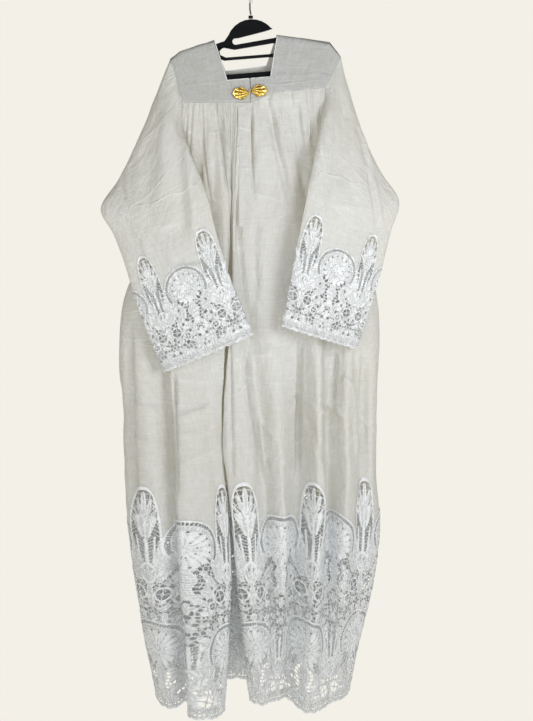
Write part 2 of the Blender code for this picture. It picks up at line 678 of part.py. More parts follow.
def wire(name, points, radius, finish, group, resolution=2):
    """A round wire through a row of points."""
    curve = bpy.data.curves.new(name, "CURVE")
    curve.dimensions = "3D"
    curve.bevel_depth = radius
    curve.bevel_resolution = resolution
    curve.use_fill_caps = True
    spline = curve.splines.new("POLY")
    spline.points.add(len(points) - 1)
    for target, point in zip(spline.points, points):
        target.co = (*point, 1.0)
    obj = bpy.data.objects.new(name, curve)
    group.objects.link(obj)
    curve.materials.append(finish)
    return obj


def arc(centre, radius, start, end, count):
    """Points on an arc, with angles in degrees."""
    angles = np.radians(np.linspace(start, end, count))
    return [(centre[0] + radius * math.cos(a), centre[1] + radius * math.sin(a)) for a in angles]


def hanger(finish, group):
    """A moulded hanger with a notched crown, a slim strap bar and a trouser bar."""
    outline = [(-0.062, -0.0425)]
    outline += arc((-0.002, -0.0585), 0.0575, 152, 38, 10)
    outline += [(0.0465, -0.0245), (0.030, -0.0285), (-0.030, -0.0385)]
    outline += arc((-0.038, -0.0455), 0.0068, 100, 262, 6)
    outline += [(0.055, -0.0435), (0.066, -0.0450), (0.166, -0.0685), (0.173, -0.0760)]
    outline += arc((0.152, -0.1075), 0.018, 0, -90, 4)
    outline += arc((-0.152, -0.1075), 0.018, -90, -180, 4)
    outline += [(-0.173, -0.0760), (-0.166, -0.0685)]
    strap_gap = [(-0.066, -0.0560), (-0.041, -0.0625), (0.055, -0.0540)]
    strap_gap += [(0.068, -0.0560), (0.075, -0.0630), (0.074, -0.0710), (0.062, -0.0775)]
    strap_gap += [(-0.062, -0.0775), (-0.074, -0.0710), (-0.075, -0.0630)]
    bar_gap = [(-0.152, -0.0765), (-0.086, -0.0600), (-0.082, -0.0680), (-0.078, -0.0770)]
    bar_gap += [(-0.066, -0.0838), (0.066, -0.0838), (0.078, -0.0770), (0.082, -0.0680)]
    bar_gap += [(0.086, -0.0600), (0.152, -0.0765), (0.160, -0.0830), (0.158, -0.1050)]
    bar_gap += [(0.150, -0.1140), (-0.150, -0.1140), (-0.158, -0.1050), (-0.160, -0.0830)]
    curve = bpy.data.curves.new("hanger", "CURVE")
    curve.dimensions = "2D"
    curve.fill_mode = "BOTH"
    curve.extrude = HANGER_HALF_THICKNESS
    for loop in (outline, strap_gap, bar_gap):
        spline = curve.splines.new("POLY")
        spline.points.add(len(loop) - 1)
        for target, point in zip(spline.points, loop):
            target.co = (*point, 0.0, 1.0)
        spline.use_cyclic_u = True
    obj = bpy.data.objects.new("hanger", curve)
    obj.location = (0.0, 0.0, HANGER_TOP_Z)
    obj.rotation_euler = (math.pi / 2, -HANGER_ROLL, 0.0)
    group.objects.link(obj)
    curve.materials.append(finish)
    return obj


def hanger_hook(steel, black, group):
    """The wire hook, which turns in a small collar on the crown."""
    top = HOOK_WIRE
    centre_z = top - HOOK_RADIUS - HOOK_WIRE
    radius = HOOK_RADIUS + HOOK_WIRE
    foot = HANGER_TOP_Z + 0.0068
    points = [(0.0, 0.0, foot), (0.0, 0.0, foot + 0.003), (0.0, 0.004, foot + 0.0055)]
    points += [(0.0, radius * math.cos(a), centre_z + radius * math.sin(a))
               for a in np.radians(np.linspace(-48, 205, 17))]
    wire("hanger_hook", points, HOOK_WIRE, steel, group, resolution=1)
    bpy.ops.mesh.primitive_cylinder_add(vertices=20, radius=0.0050, depth=0.0058,
                                        location=(0.0, 0.0, HANGER_TOP_Z + 0.0035))
    collar = bpy.context.object
    collar.name = "hanger_collar"
    collar.data.materials.append(black)
    collar.data.shade_smooth()
    collar.data.set_sharp_from_angle(angle=math.radians(40))
    for owner in list(collar.users_collection):
        owner.objects.unlink(collar)
    group.objects.link(collar)


def build():
    group = collection("alb_robe")
    gilt = material("gilt", GILT, 0.3, 1.0)
    black = material("black_plastic", BLACK, 0.45)
    steel = material("steel", STEEL, 0.3, 1.0)

    def linen(name):
        return material(name + "_linen", LINEN, 0.9)

    def lace(name):
        return material(name + "_lace", LACE, 0.85)

    half_slit = SEAM_GAP / 2 / (FRONT_NECK[1][0] - FRONT_NECK[0][0])
    middle = 1.0 + (SLIT_X - FRONT_NECK[0][0]) / (FRONT_NECK[1][0] - FRONT_NECK[0][0])
    yoke("yoke_front_right", 0.0, middle - half_slit, -1, 5, 8, linen("yoke_front_right"), group)
    yoke("yoke_front_left", middle + half_slit, 3.0, -1, 5, 8, linen("yoke_front_left"), group)
    yoke("yoke_back", 0.0, 3.0, 1, 5, 6, linen("yoke_back"), group)
    skirt("skirt_front", FRONT, linen("skirt_front"), group)
    skirt("skirt_back", BACK, linen("skirt_back"), group)
    placket(linen("placket"), group)
    hem_lace("hem_lace_front", FRONT, lace("hem_lace_front"), group)
    hem_lace("hem_lace_back", BACK, lace("hem_lace_back"), group)
    for side, shape in (("right", RIGHT), ("left", LEFT)):
        sleeve(f"sleeve_{side}", shape, linen(f"sleeve_{side}"), group)
        cuff_lace(f"cuff_lace_{side}_front", shape, 0, CUFF_FRONT_COLUMNS,
                  lace(f"cuff_lace_{side}_front"), group)
        cuff_lace(f"cuff_lace_{side}_back", shape, CUFF_FRONT_COLUMNS, CUFF_COLUMNS,
                  lace(f"cuff_lace_{side}_back"), group)
    clasp_half("clasp_right", Vector((-0.0250, -0.0222, -0.2150)), -1, gilt, group)
    clasp_half("clasp_left", Vector((0.0175, -0.0222, -0.2085)), 1, gilt, group)
    wire("clasp_hook", [(-0.0062, -0.0250, -0.2125), (-0.0045, -0.0262, -0.2120),
                        (-0.0030, -0.0262, -0.2117), (-0.0014, -0.0250, -0.2114)],
         0.0011, gilt, group)
    hanger(black, group)
    hanger_hook(steel, black, group)


for old in list(bpy.data.objects):
    bpy.data.objects.remove(old)
build()
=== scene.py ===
"""Alb robe: gathered linen with padded cutwork lace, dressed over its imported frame.

Metres, +Z up, front towards -Y, origin at the inner top of the hanger's hook.
Lace motifs are drawn flat, in millimetres, and then laid on the hanging cloth.
"""
import itertools
import math

import bmesh
import bpy
import numpy as np
from bpy.props import FloatProperty, FloatVectorProperty, PointerProperty
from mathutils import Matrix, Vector


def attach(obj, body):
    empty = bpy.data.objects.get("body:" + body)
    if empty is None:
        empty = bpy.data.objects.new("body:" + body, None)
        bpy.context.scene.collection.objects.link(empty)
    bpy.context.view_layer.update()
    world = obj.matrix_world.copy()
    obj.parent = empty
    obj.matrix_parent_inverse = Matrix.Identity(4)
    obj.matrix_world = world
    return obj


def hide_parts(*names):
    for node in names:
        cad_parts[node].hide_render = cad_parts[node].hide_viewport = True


bl_info = {
    "name": "Alb Robe",
    "version": (1, 0, 0),
    "blender": (4, 5, 0),
    "location": "View3D > Sidebar > Alb Robe",
    "description": "Dresses the frame of a linen alb with its cloth, cutwork lace, clasp and hanger",
    "category": "Object",
}

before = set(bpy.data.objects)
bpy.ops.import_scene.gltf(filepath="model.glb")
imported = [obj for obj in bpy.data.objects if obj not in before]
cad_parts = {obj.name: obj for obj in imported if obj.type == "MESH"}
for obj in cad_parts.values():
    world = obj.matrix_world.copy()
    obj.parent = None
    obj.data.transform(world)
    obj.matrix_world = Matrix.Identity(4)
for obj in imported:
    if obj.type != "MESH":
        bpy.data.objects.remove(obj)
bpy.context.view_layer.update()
ROOT = "root"
MM = 0.001


# ---------------------------------------------------------------- cut of the cloth

REPEAT = 0.205               # one lace palmette to the next, round the hem
HEM_REPEATS = 6              # repeats on the front, and again on the back
HEM_LACE_HEIGHT = 0.575      # palmette tip to hem
HEM_RISE = 0.028             # how much shorter the lace is at the side seams
CUFF_REPEAT = 0.140
CUFF_LACE_HEIGHT = 0.255
CUFF_START = 0.315           # place of the sleeve's inner fold, in cuff repeats
CUFF_FOLD = 1.830            # place of its outer fold
CUFF_END = 3.315
SEAM_GAP = 0.0004
PLACKET_WIDTH = 0.028
PLACKET_BOTTOM_Z = -0.505
SLIT_X = -0.003
SLIT_BOTTOM_Z = -0.462

# Share of the hem's width that a body panel is cut to, by level
CUT_WIDTH = ((0.0, 0.13, 0.30, 0.50, 0.75, 1.0), (0.46, 0.50, 0.72, 0.88, 1.0, 1.0))
# Width that a sleeve is cut to, by share of the way up from its lace
SLEEVE_WIDTH = ((0.0, 0.25, 0.5, 0.7, 0.85, 1.0), (0.46, 0.49, 0.53, 0.46, 0.38, 0.40))

# Body levels, as shares of the way from the yoke seam to the hem
LEVELS = (0.0, 0.13, 0.30, 0.505, 0.738, 1.0)
HEM_Z = -1.655
UNDERARM_LEVEL = 0.115
ARMHOLE_HALF = 0.018         # half the front-to-back width of the armhole at the yoke seam
SHOULDER_ROUND = 0.0085      # how far the cloth stands off on each side of the shoulder fold
SHOULDER_TURN = 50.0         # how quickly it turns over the fold
YOKE_SPREAD = 0.0108         # further distance it stands off at the yoke seam
YOKE_FOOT = 1.18             # where the neck edge's line meets the yoke seam

# One row for each line that runs down the body: its name, its place along the
# cloth in lace repeats, its x at each level and its y at each level. Left and
# right in these names are as seen from the front; a sleeve's are the wearer's.
SIDE_SEAMS = {
    "left_seam": (0.0,
                  (-0.150, -0.168, -0.278, -0.288, -0.280, -0.226),
                  (0.000, 0.000, 0.012, 0.020, 0.030, 0.036)),
    "right_seam": (6.0,
                   (0.163, 0.180, 0.278, 0.286, 0.293, 0.232),
                   (0.000, 0.000, 0.012, 0.020, 0.030, 0.036)),
}
FRONT_FOLDS = {
    "left_edge": (0.25, (-0.140, -0.162, -0.288, -0.299, -0.289, -0.238),
                  (-0.016, -0.018, -0.012, -0.012, -0.012, -0.010)),
    "left_crest": (0.62, (-0.124, -0.138, -0.240, -0.235, -0.222, -0.198),
                   (-0.020, -0.034, -0.055, -0.072, -0.082, -0.074)),
    "left_valley": (0.80, (-0.113, -0.122, -0.189, -0.186, -0.174, -0.163),
                    (-0.016, -0.032, -0.045, -0.050, -0.052, -0.044)),
    "left_lip": (0.99, (-0.107, -0.113, -0.182, -0.180, -0.169, -0.155),
                 (-0.018, -0.041, -0.068, -0.094, -0.111, -0.120)),
    "left_panel": (1.12, (-0.101, -0.105, -0.147, -0.138, -0.124, -0.118),
                   (-0.020, -0.046, -0.074, -0.098, -0.114, -0.126)),
    "left_panel_turn": (1.35, (-0.090, -0.086, -0.108, -0.102, -0.088, -0.092),
                        (-0.017, -0.047, -0.076, -0.099, -0.113, -0.120)),
    "deep_left_lip": (1.58, (-0.080, -0.062, -0.069, -0.079, -0.061, -0.074),
                      (-0.020, -0.048, -0.072, -0.090, -0.104, -0.092)),
    "deep_left_wall": (1.95, (-0.068, -0.052, -0.063, -0.080, -0.076, -0.090),
                       (-0.018, -0.046, -0.069, -0.068, -0.046, -0.024)),
    "deep_left_toe": (2.30, (-0.058, -0.049, -0.061, -0.090, -0.102, -0.104),
                      (-0.017, -0.040, -0.048, -0.027, 0.012, 0.034)),
    "deep_bottom": (2.56, (-0.050, -0.046, -0.051, -0.068, -0.062, -0.050),
                    (-0.017, -0.034, -0.038, -0.011, 0.036, 0.060)),
    "deep_right_toe": (2.82, (-0.043, -0.044, -0.048, -0.044, -0.024, 0.002),
                       (-0.017, -0.038, -0.048, -0.027, 0.014, 0.036)),
    "deep_right_wall": (3.08, (-0.036, -0.043, -0.047, -0.059, -0.028, 0.000),
                        (-0.018, -0.043, -0.064, -0.064, -0.046, -0.018)),
    "deep_right_lip": (3.35, (-0.028, -0.040, -0.048, -0.069, -0.038, -0.010),
                       (-0.020, -0.049, -0.074, -0.096, -0.110, -0.056)),
    "centre_crest": (3.56, (-0.020, -0.032, -0.042, -0.022, 0.000, 0.016),
                     (-0.020, -0.051, -0.078, -0.104, -0.121, -0.078)),
    "centre_valley": (3.80, (-0.010, -0.018, -0.018, 0.014, 0.032, 0.038),
                      (-0.020, -0.050, -0.066, -0.076, -0.084, -0.062)),
    "centre_panel": (4.04, (0.004, 0.014, 0.034, 0.058, 0.066, 0.058),
                     (-0.020, -0.051, -0.078, -0.106, -0.120, -0.058)),
    "right_valley": (4.28, (0.026, 0.056, 0.100, 0.106, 0.096, 0.080),
                     (-0.017, -0.048, -0.068, -0.052, -0.062, -0.050)),
    "right_panel": (4.55, (0.052, 0.086, 0.134, 0.143, 0.141, 0.118),
                    (-0.020, -0.048, -0.074, -0.104, -0.121, -0.118)),
    "right_tuck": (4.86, (0.080, 0.112, 0.164, 0.174, 0.174, 0.160),
                   (-0.016, -0.036, -0.050, -0.046, -0.060, -0.106)),
    "outer_crest": (5.18, (0.110, 0.134, 0.205, 0.214, 0.214, 0.196),
                    (-0.020, -0.038, -0.062, -0.088, -0.098, -0.072)),
    "outer_valley": (5.43, (0.130, 0.152, 0.240, 0.250, 0.250, 0.220),
                     (-0.016, -0.030, -0.048, -0.046, -0.052, -0.058)),
    "right_crest": (5.64, (0.145, 0.165, 0.268, 0.280, 0.285, 0.236),
                    (-0.018, -0.024, -0.034, -0.040, -0.046, -0.036)),
    "right_edge": (5.81, (0.155, 0.174, 0.287, 0.296, 0.302, 0.243),
                   (-0.016, -0.014, -0.010, -0.010, -0.010, -0.004)),
}
BACK_FOLDS = {
    "left_turn": (0.25, (-0.140, -0.162, -0.280, -0.292, -0.285, -0.234),
                  (0.016, 0.018, 0.046, 0.062, 0.076, 0.084)),
    "left_crest": (0.56, (-0.126, -0.140, -0.238, -0.248, -0.240, -0.202),
                   (0.020, 0.036, 0.072, 0.094, 0.110, 0.118)),
    "left_valley": (0.95, (-0.108, -0.118, -0.186, -0.196, -0.190, -0.166),
                    (0.016, 0.030, 0.044, 0.052, 0.054, 0.054)),
    "left_panel": (1.38, (-0.086, -0.094, -0.142, -0.150, -0.146, -0.124),
                   (0.020, 0.044, 0.082, 0.108, 0.124, 0.130)),
    "inner_valley": (1.85, (-0.060, -0.066, -0.100, -0.106, -0.106, -0.094),
                     (0.016, 0.036, 0.064, 0.074, 0.080, 0.088)),
    "centre_left": (2.33, (-0.034, -0.038, -0.056, -0.056, -0.054, -0.046),
                    (0.020, 0.046, 0.088, 0.114, 0.130, 0.136)),
    "centre_valley": (2.84, (-0.006, -0.006, -0.008, -0.004, 0.002, 0.008),
                      (0.016, 0.036, 0.056, 0.062, 0.062, 0.062)),
    "centre_right": (3.36, (0.022, 0.024, 0.038, 0.046, 0.052, 0.050),
                     (0.020, 0.046, 0.088, 0.114, 0.130, 0.136)),
    "outer_valley": (3.88, (0.050, 0.054, 0.084, 0.096, 0.100, 0.092),
                     (0.016, 0.036, 0.054, 0.060, 0.060, 0.060)),
    "right_panel": (4.42, (0.080, 0.084, 0.130, 0.142, 0.146, 0.132),
                    (0.020, 0.044, 0.082, 0.108, 0.124, 0.130)),
    "right_valley": (4.94, (0.108, 0.114, 0.176, 0.188, 0.190, 0.168),
                     (0.016, 0.030, 0.044, 0.052, 0.054, 0.054)),
    "right_crest": (5.42, (0.134, 0.142, 0.228, 0.240, 0.244, 0.206),
                    (0.020, 0.036, 0.072, 0.094, 0.110, 0.118)),
    "right_turn": (5.76, (0.152, 0.174, 0.276, 0.290, 0.297, 0.238),
                   (0.016, 0.018, 0.046, 0.062, 0.076, 0.084)),
}

# The yoke's seam with the gathered body: x and z
FRONT_SEAM = ((-0.150, -0.2390), (-0.003, -0.2385), (0.012, -0.2340), (0.030, -0.2250),
              (0.050, -0.2165), (0.163, -0.2050))
BACK_SEAM = ((-0.150, -0.232), (0.163, -0.205))
# The yoke's other corners: x and z
SHOULDER_TIPS = ((-0.178, -0.146), (0.201, -0.137))
SHOULDER_BENDS = ((-0.1565, -0.1280), (0.1750, -0.1062))
NECK_SHOULDERS = ((-0.0810, -0.1038), (0.0582, -0.0910))
FRONT_NECK = ((-0.0535, -0.1900), (0.0425, -0.1815))
BACK_NECK = ((-0.0560, -0.1680), (0.0360, -0.1560))
NECK_SHARE = {-1: 0.62, 1: 0.50}   # how far down the yoke its square neck reaches, in front and behind
# The slit's place across the yoke, where 0 and 3 are the armholes and 1 and 2 the neck edges
SLIT_PLACE = 1.0 + (SLIT_X - FRONT_NECK[0][0]) / (FRONT_NECK[1][0] - FRONT_NECK[0][0])
SLIT_HALF = 0.009            # half the slit's width, in the same places

# One row for each sleeve section: outer edge x, y, z, inner edge x, y, z, half depth
RIGHT_SLEEVE = (
    (-0.199, -0.006, -0.192, -0.148, -0.042, -0.322, 0.014),
    (-0.222, -0.012, -0.248, -0.134, -0.066, -0.352, 0.018),
    (-0.256, -0.022, -0.330, -0.117, -0.088, -0.398, 0.020),
    (-0.292, -0.032, -0.400, -0.100, -0.106, -0.450, 0.020),
    (-0.335, -0.045, -0.466, -0.086, -0.116, -0.512, 0.020),
    (-0.309, -0.062, -0.520, -0.070, -0.122, -0.570, 0.020),
    (-0.290, -0.075, -0.575, -0.056, -0.126, -0.615, 0.019),
    (-0.270, -0.085, -0.640, -0.040, -0.128, -0.655, 0.018),
    (-0.250, -0.092, -0.700, -0.024, -0.130, -0.695, 0.017),
    (-0.205, -0.096, -0.825, -0.006, -0.132, -0.735, 0.016),
)
LEFT_SLEEVE = (
    (0.214, -0.006, -0.190, 0.155, -0.040, -0.268, 0.014),
    (0.230, -0.012, -0.245, 0.144, -0.064, -0.315, 0.018),
    (0.256, -0.022, -0.320, 0.130, -0.088, -0.370, 0.020),
    (0.290, -0.032, -0.390, 0.114, -0.108, -0.438, 0.020),
    (0.330, -0.045, -0.452, 0.100, -0.118, -0.505, 0.020),
    (0.311, -0.062, -0.515, 0.088, -0.122, -0.560, 0.020),
    (0.298, -0.075, -0.560, 0.080, -0.126, -0.605, 0.019),
    (0.281, -0.085, -0.620, 0.072, -0.128, -0.650, 0.018),
    (0.262, -0.092, -0.680, 0.065, -0.130, -0.685, 0.017),
    (0.230, -0.096, -0.778, 0.057, -0.132, -0.718, 0.016),
)

# Lace drawing, in mm
HALF = 1000 * REPEAT / 2     # palmette axis to arch axis
TIER_DROP = 262.0            # upper tier of the lace to the lower one, which is half a repeat across
PALMETTE_HALF = 33.0         # half width of a palmette
PALMETTE_FOOT = 452.0        # where it is widest
PALMETTE_RISE = 123.0        # from there to its tip
PALMETTE_BLUNT = 2.4         # how square its tip is
ARCH_RADIUS = 72.4
ARCH_CENTRE = 423.2
LACE_JOIN = 446.0            # where the palmettes and arches meet
CUFF_SCALE = CUFF_REPEAT / REPEAT
CUFF_BASE = 1000 * (HEM_LACE_HEIGHT - CUFF_LACE_HEIGHT / CUFF_SCALE)
SCALLOP_WIDTH = HALF / 4
HEM_MESH = 10.0              # size of a cell of the net ground, in mm
CUFF_MESH = 12.0
BACK_CLOSER = 0.9            # how much wider the back lace's bars are, so that less shows through both
BACK_COARSER = 1.80          # how much coarser its grid is

# Creases that a body or a sleeve keeps: x and z of both ends, width, and height (a trough is negative)
BODY_CREASES = (
    (-0.114, -0.300, -0.086, -0.518, 0.0033, -0.0062),
    (-0.073, -0.244, -0.051, -0.440, 0.0070, -0.0150),
    (-0.038, -0.410, -0.023, -0.676, 0.0050, -0.0095),
    (0.038, -0.236, 0.081, -0.470, 0.0085, -0.0110),
    (0.097, -0.228, 0.120, -0.400, 0.0070, -0.0090),
    (0.131, -0.250, 0.124, -0.330, 0.0035, 0.0051),
    (0.0002, -0.248, 0.0006, -0.468, 0.0026, -0.0100),
    (0.0050, -0.300, 0.0060, -0.460, 0.0085, -0.0050),
    (0.0065, -0.470, 0.0000, -0.700, 0.0080, -0.0060),
    (0.060, -0.300, 0.066, -0.560, 0.0120, 0.0040),
    (-0.290, -0.906, -0.200, -0.917, 0.0050, 0.0049),
    (-0.183, -0.922, -0.095, -0.893, 0.0045, -0.0054),
    (-0.180, -0.935, -0.095, -0.906, 0.0050, 0.0039),
    (0.108, -0.893, 0.150, -0.925, 0.0048, 0.0074),
    (0.145, -0.925, 0.190, -0.921, 0.0048, 0.0074),
    (0.186, -0.921, 0.204, -0.945, 0.0048, 0.0064),
    (0.080, -0.905, 0.110, -0.895, 0.0040, -0.0049),
    (0.200, -0.850, 0.236, -0.872, 0.0060, 0.0064),
    (-0.040, -0.815, 0.062, -0.775, 0.0100, 0.0054),
    (-0.010, -0.930, 0.060, -0.990, 0.0080, 0.0049),
    (-0.175, -0.965, -0.100, -0.968, 0.0060, 0.0038),
    (-0.170, -1.035, -0.090, -1.005, 0.0090, 0.0039),
    (-0.285, -0.985, -0.220, -0.990, 0.0055, 0.0045),
    (-0.270, -1.060, -0.215, -1.085, 0.0070, 0.0035),
    (0.030, -1.050, 0.100, -1.030, 0.0080, 0.0039),
    (0.120, -0.930, 0.160, -1.060, 0.0070, -0.0045),
    (0.150, -1.020, 0.166, -1.290, 0.0060, 0.0054),
    (0.256, -0.780, 0.263, -1.130, 0.0100, -0.0125),
    (0.238, -0.850, 0.246, -1.080, 0.0050, 0.0065),
    (-0.281, -0.700, -0.277, -1.230, 0.0090, -0.0130),
    (-0.018, -0.758, 0.021, -1.121, 0.0042, -0.0180),
    (0.107, -0.735, 0.103, -1.109, 0.0042, -0.0180),
    (0.234, -0.780, 0.257, -1.113, 0.0042, -0.0150),
    (0.185, -0.788, 0.181, -0.928, 0.0042, -0.0140),
    (-0.055, -0.750, -0.052, -1.128, 0.0034, -0.0090),
    (-0.011, -0.767, 0.028, -1.111, 0.0045, 0.0036),
    (-0.182, -0.803, -0.176, -1.137, 0.0042, -0.0150),
)
SLEEVE_CREASES = (
    (-0.292, -0.392, -0.276, -0.460, 0.0034, -0.0028),
    (-0.180, -0.581, -0.114, -0.573, 0.0050, -0.0034),
    (-0.178, -0.594, -0.116, -0.585, 0.0050, 0.0020),
    (-0.169, -0.250, -0.152, -0.560, 0.0110, -0.0036),
    (-0.190, -0.230, -0.196, -0.470, 0.0130, 0.0030),
    (-0.150, -0.300, -0.128, -0.560, 0.0080, 0.0026),
    (-0.232, -0.300, -0.226, -0.520, 0.0150, -0.0026),
    (-0.255, -0.500, -0.215, -0.610, 0.0090, 0.0018),
    (0.236, -0.291, 0.255, -0.384, 0.0040, -0.0042),
    (0.255, -0.384, 0.277, -0.520, 0.0040, -0.0042),
    (0.246, -0.291, 0.266, -0.384, 0.0060, 0.0026),
    (0.266, -0.384, 0.288, -0.520, 0.0060, 0.0026),
    (0.205, -0.200, 0.190, -0.440, 0.0120, -0.0030),
    (0.176, -0.250, 0.152, -0.480, 0.0080, -0.0024),
    (0.225, -0.250, 0.232, -0.500, 0.0120, 0.0022),
)
BACK_CREASES = BODY_CREASES[7:]   # without the front's pleat lines

# Gathers at the yoke: how many to a repeat, height in mm, share of the body over which they
# fade, and how far they wander
GATHERS = ((7.3, 2.3, 0.030, 0.25), (4.3, 4.4, 0.100, 0.35), (2.1, 4.8, 0.260, 0.30))
# The fold that lies against the placket: its x, its width and how far it stands up
PLACKET_FOLD = (-0.033, 0.007, 3.2 * MM)


# ---------------------------------------------------------------- curves and grounds


def smooth(knots, values, at):
    """Run a smooth curve through values at knots, and read it at places."""
    knots, values = np.asarray(knots, float), np.asarray(values, float)
    at = np.atleast_1d(np.asarray(at, float))
    slopes = np.gradient(values, knots, axis=0)
    i = np.clip(np.searchsorted(knots, at, side="right") - 1, 0, len(knots) - 2)
    shape = (-1,) + (1,) * (values.ndim - 1)
    span = (knots[i + 1] - knots[i]).reshape(shape)
    t = (at - knots[i]).reshape(shape) / span
    return hermite(t, values[i], values[i + 1], span * slopes[i], span * slopes[i + 1])


def smooth_rows(knots, rows, at):
    """The same where each place has a row of values of its own."""
    knots = np.asarray(knots, float)
    slopes = np.gradient(rows, knots, axis=1)
    i = np.clip(np.searchsorted(knots, at, side="right") - 1, 0, len(knots) - 2)
    span = knots[i + 1] - knots[i]
    n = np.arange(len(at))
    return hermite((at - knots[i]) / span, rows[n, i], rows[n, i + 1],
                   span * slopes[n, i], span * slopes[n, i + 1])


def hermite(t, a, b, slope_a, slope_b):
    return ((2 * t**3 - 3 * t**2 + 1) * a + (t**3 - 2 * t**2 + t) * slope_a
            + (3 * t**2 - 2 * t**3) * b + (t**3 - t**2) * slope_b)


def mix(a, b, t):
    return a + (b - a) * t


def ease(low, high, value):
    """0 below low, 1 above high, and smooth between."""
    t = np.clip((value - low) / (high - low), 0.0, 1.0)
    return t * t * (3 - 2 * t)


def along(points, x):
    return np.interp(x, *zip(*points))


def grid_points(u, v):
    """Two values for each point of a grid, with the points of a column together."""
    return [grid.ravel() for grid in np.meshgrid(u, v, indexing="ij")]


def unit(vectors):
    return vectors / np.linalg.norm(vectors, axis=1)[:, None]


def mirrored(points):
    return points * np.array((-1.0, 1.0, 1.0))


def ground(u, v, seed):
    """Smooth random heights from -1 to 1, about one bump to each unit of u and v."""
    lattice = np.random.default_rng(seed).uniform(-1, 1, (61, 67))
    i, j = np.floor(u).astype(int), np.floor(v).astype(int)
    s, t = ease(0, 1, u - i), ease(0, 1, v - j)
    corner = [[lattice[(i + a) % 61, (j + b) % 67] for b in (0, 1)] for a in (0, 1)]
    return mix(mix(corner[0][0], corner[1][0], s), mix(corner[0][1], corner[1][1], s), t)


def from_multiple(value, pitch):
    """Distance to the nearest multiple of a pitch."""
    return np.abs(value - pitch * np.round(value / pitch))


def creases(points, table):
    """Height of the creases in a table over points, seen from the front."""
    height = np.zeros(len(points))
    for x0, z0, x1, z1, width, rise in table:
        run = np.array((x1 - x0, z1 - z0))
        dx, dz = points[:, 0] - x0, points[:, 2] - z0
        t = (dx * run[0] + dz * run[1]) / run.dot(run)
        wander = 0.35 * width * ground(t * 3.0, np.full_like(t, x0 * 50), 7)
        across = (dx * run[1] - dz * run[0]) / math.hypot(*run) + wander
        ends = ease(0, 0.22, t) * ease(0, 0.30, 1 - t)
        height += rise * ends * np.exp(-(across / width) ** 2)
    return height


# ---------------------------------------------------------------- where the cloth hangs


class BodySide:
    """Front or back of the body, from its table of folds."""

    def __init__(self, folds, seam, facing):
        rows = [SIDE_SEAMS["left_seam"], *folds.values(), SIDE_SEAMS["right_seam"]]
        self.places = [row[0] for row in rows]
        self.x = np.array([row[1] for row in rows])
        self.y = np.array([row[2] for row in rows])
        self.seam = seam
        self.facing = facing

    def top(self, place):
        return along(self.seam, smooth(self.places, self.x[:, 0], place))

    def points(self, place, level):
        """Points at places in repeats and levels from 0 at the yoke seam to 1 at the hem."""
        x_rows = smooth(LEVELS, self.x.T, level)
        y_rows = smooth(LEVELS, self.y.T, level)
        opening = np.clip(1.0 - level / UNDERARM_LEVEL, 0, 1)
        gap = self.facing * (SEAM_GAP / 2 + ARMHOLE_HALF * opening**1.2)
        y_rows[:, 0] += gap
        y_rows[:, -1] += gap
        x = smooth_rows(self.places, x_rows, place)
        y = smooth_rows(self.places, y_rows, place)
        return np.stack((x, y, mix(self.top(place), HEM_Z, level)), 1)

    def edge(self, side, z):
        place = np.full(len(z), self.places[-side])
        top = self.top(place)
        return self.points(place, (top - z) / (top - HEM_Z))


FRONT = BodySide(FRONT_FOLDS, FRONT_SEAM, -1)
BACK = BodySide(BACK_FOLDS, BACK_SEAM, 1)


def yoke_row(down, facing):
    """x and z of a yoke's armhole and neck edges at shares of the way down."""
    neck = FRONT_NECK if facing < 0 else BACK_NECK
    seam = FRONT_SEAM if facing < 0 else BACK_SEAM
    row = []
    for side in (0, 1):
        tip, shoulder, corner = SHOULDER_TIPS[side], NECK_SHOULDERS[side], neck[side]
        foot_x = mix(shoulder[0], corner[0], YOKE_FOOT)
        inner = (shoulder, corner, (foot_x, along(seam, foot_x)))
        outer = (tip, (seam[-side][0], along(seam, seam[-side][0])))
        depths = (0, NECK_SHARE[facing], 1)
        edges = [[mix(outer[0][k], outer[1][k], down) for k in (0, 1)],
                 [np.interp(down, depths, [point[k] for point in inner]) for k in (0, 1)]]
        row += edges if side == 0 else edges[::-1]
    return row


def read_row(row, across, k):
    values = [point[k] + np.zeros_like(across) for point in row]
    i = np.clip(across.astype(int), 0, 2)
    values = np.stack(values)
    n = np.arange(len(across))
    return mix(values[i, n], values[i + 1, n], across - i)


def yoke_points(across, down, facing):
    """Points on a yoke: across 0 and 3 are the armholes, 1 and 2 the neck edges."""
    across, down = np.asarray(across, float), np.asarray(down, float)
    seam = FRONT_SEAM if facing < 0 else BACK_SEAM
    depth = NECK_SHARE[facing]
    row, foot = yoke_row(down, facing), yoke_row(np.ones_like(down), facing)
    x, z = read_row(row, across, 0), read_row(row, across, 1)
    drop = along(seam, read_row(foot, across, 0)) - read_row(foot, across, 1)
    z += drop * np.clip((down - depth) / (1 - depth), 0, 1)
    for side in (0, 1):
        outward = np.clip(1 - across if side == 0 else across - 2, 0, 1)
        tip, bend, shoulder = SHOULDER_TIPS[side], SHOULDER_BENDS[side], NECK_SHOULDERS[side]
        share = (bend[0] - shoulder[0]) / (tip[0] - shoulder[0])
        rise = bend[1] - mix(shoulder[1], tip[1], share)
        bump = np.minimum(outward / share, (1 - outward) / (1 - share))
        z += rise * bump * (1 - down) ** 1.5
    rounding = SHOULDER_ROUND * (1 - np.exp(-SHOULDER_TURN * down))
    return np.stack((x, facing * (SEAM_GAP / 2 + rounding + YOKE_SPREAD * down), z), 1)


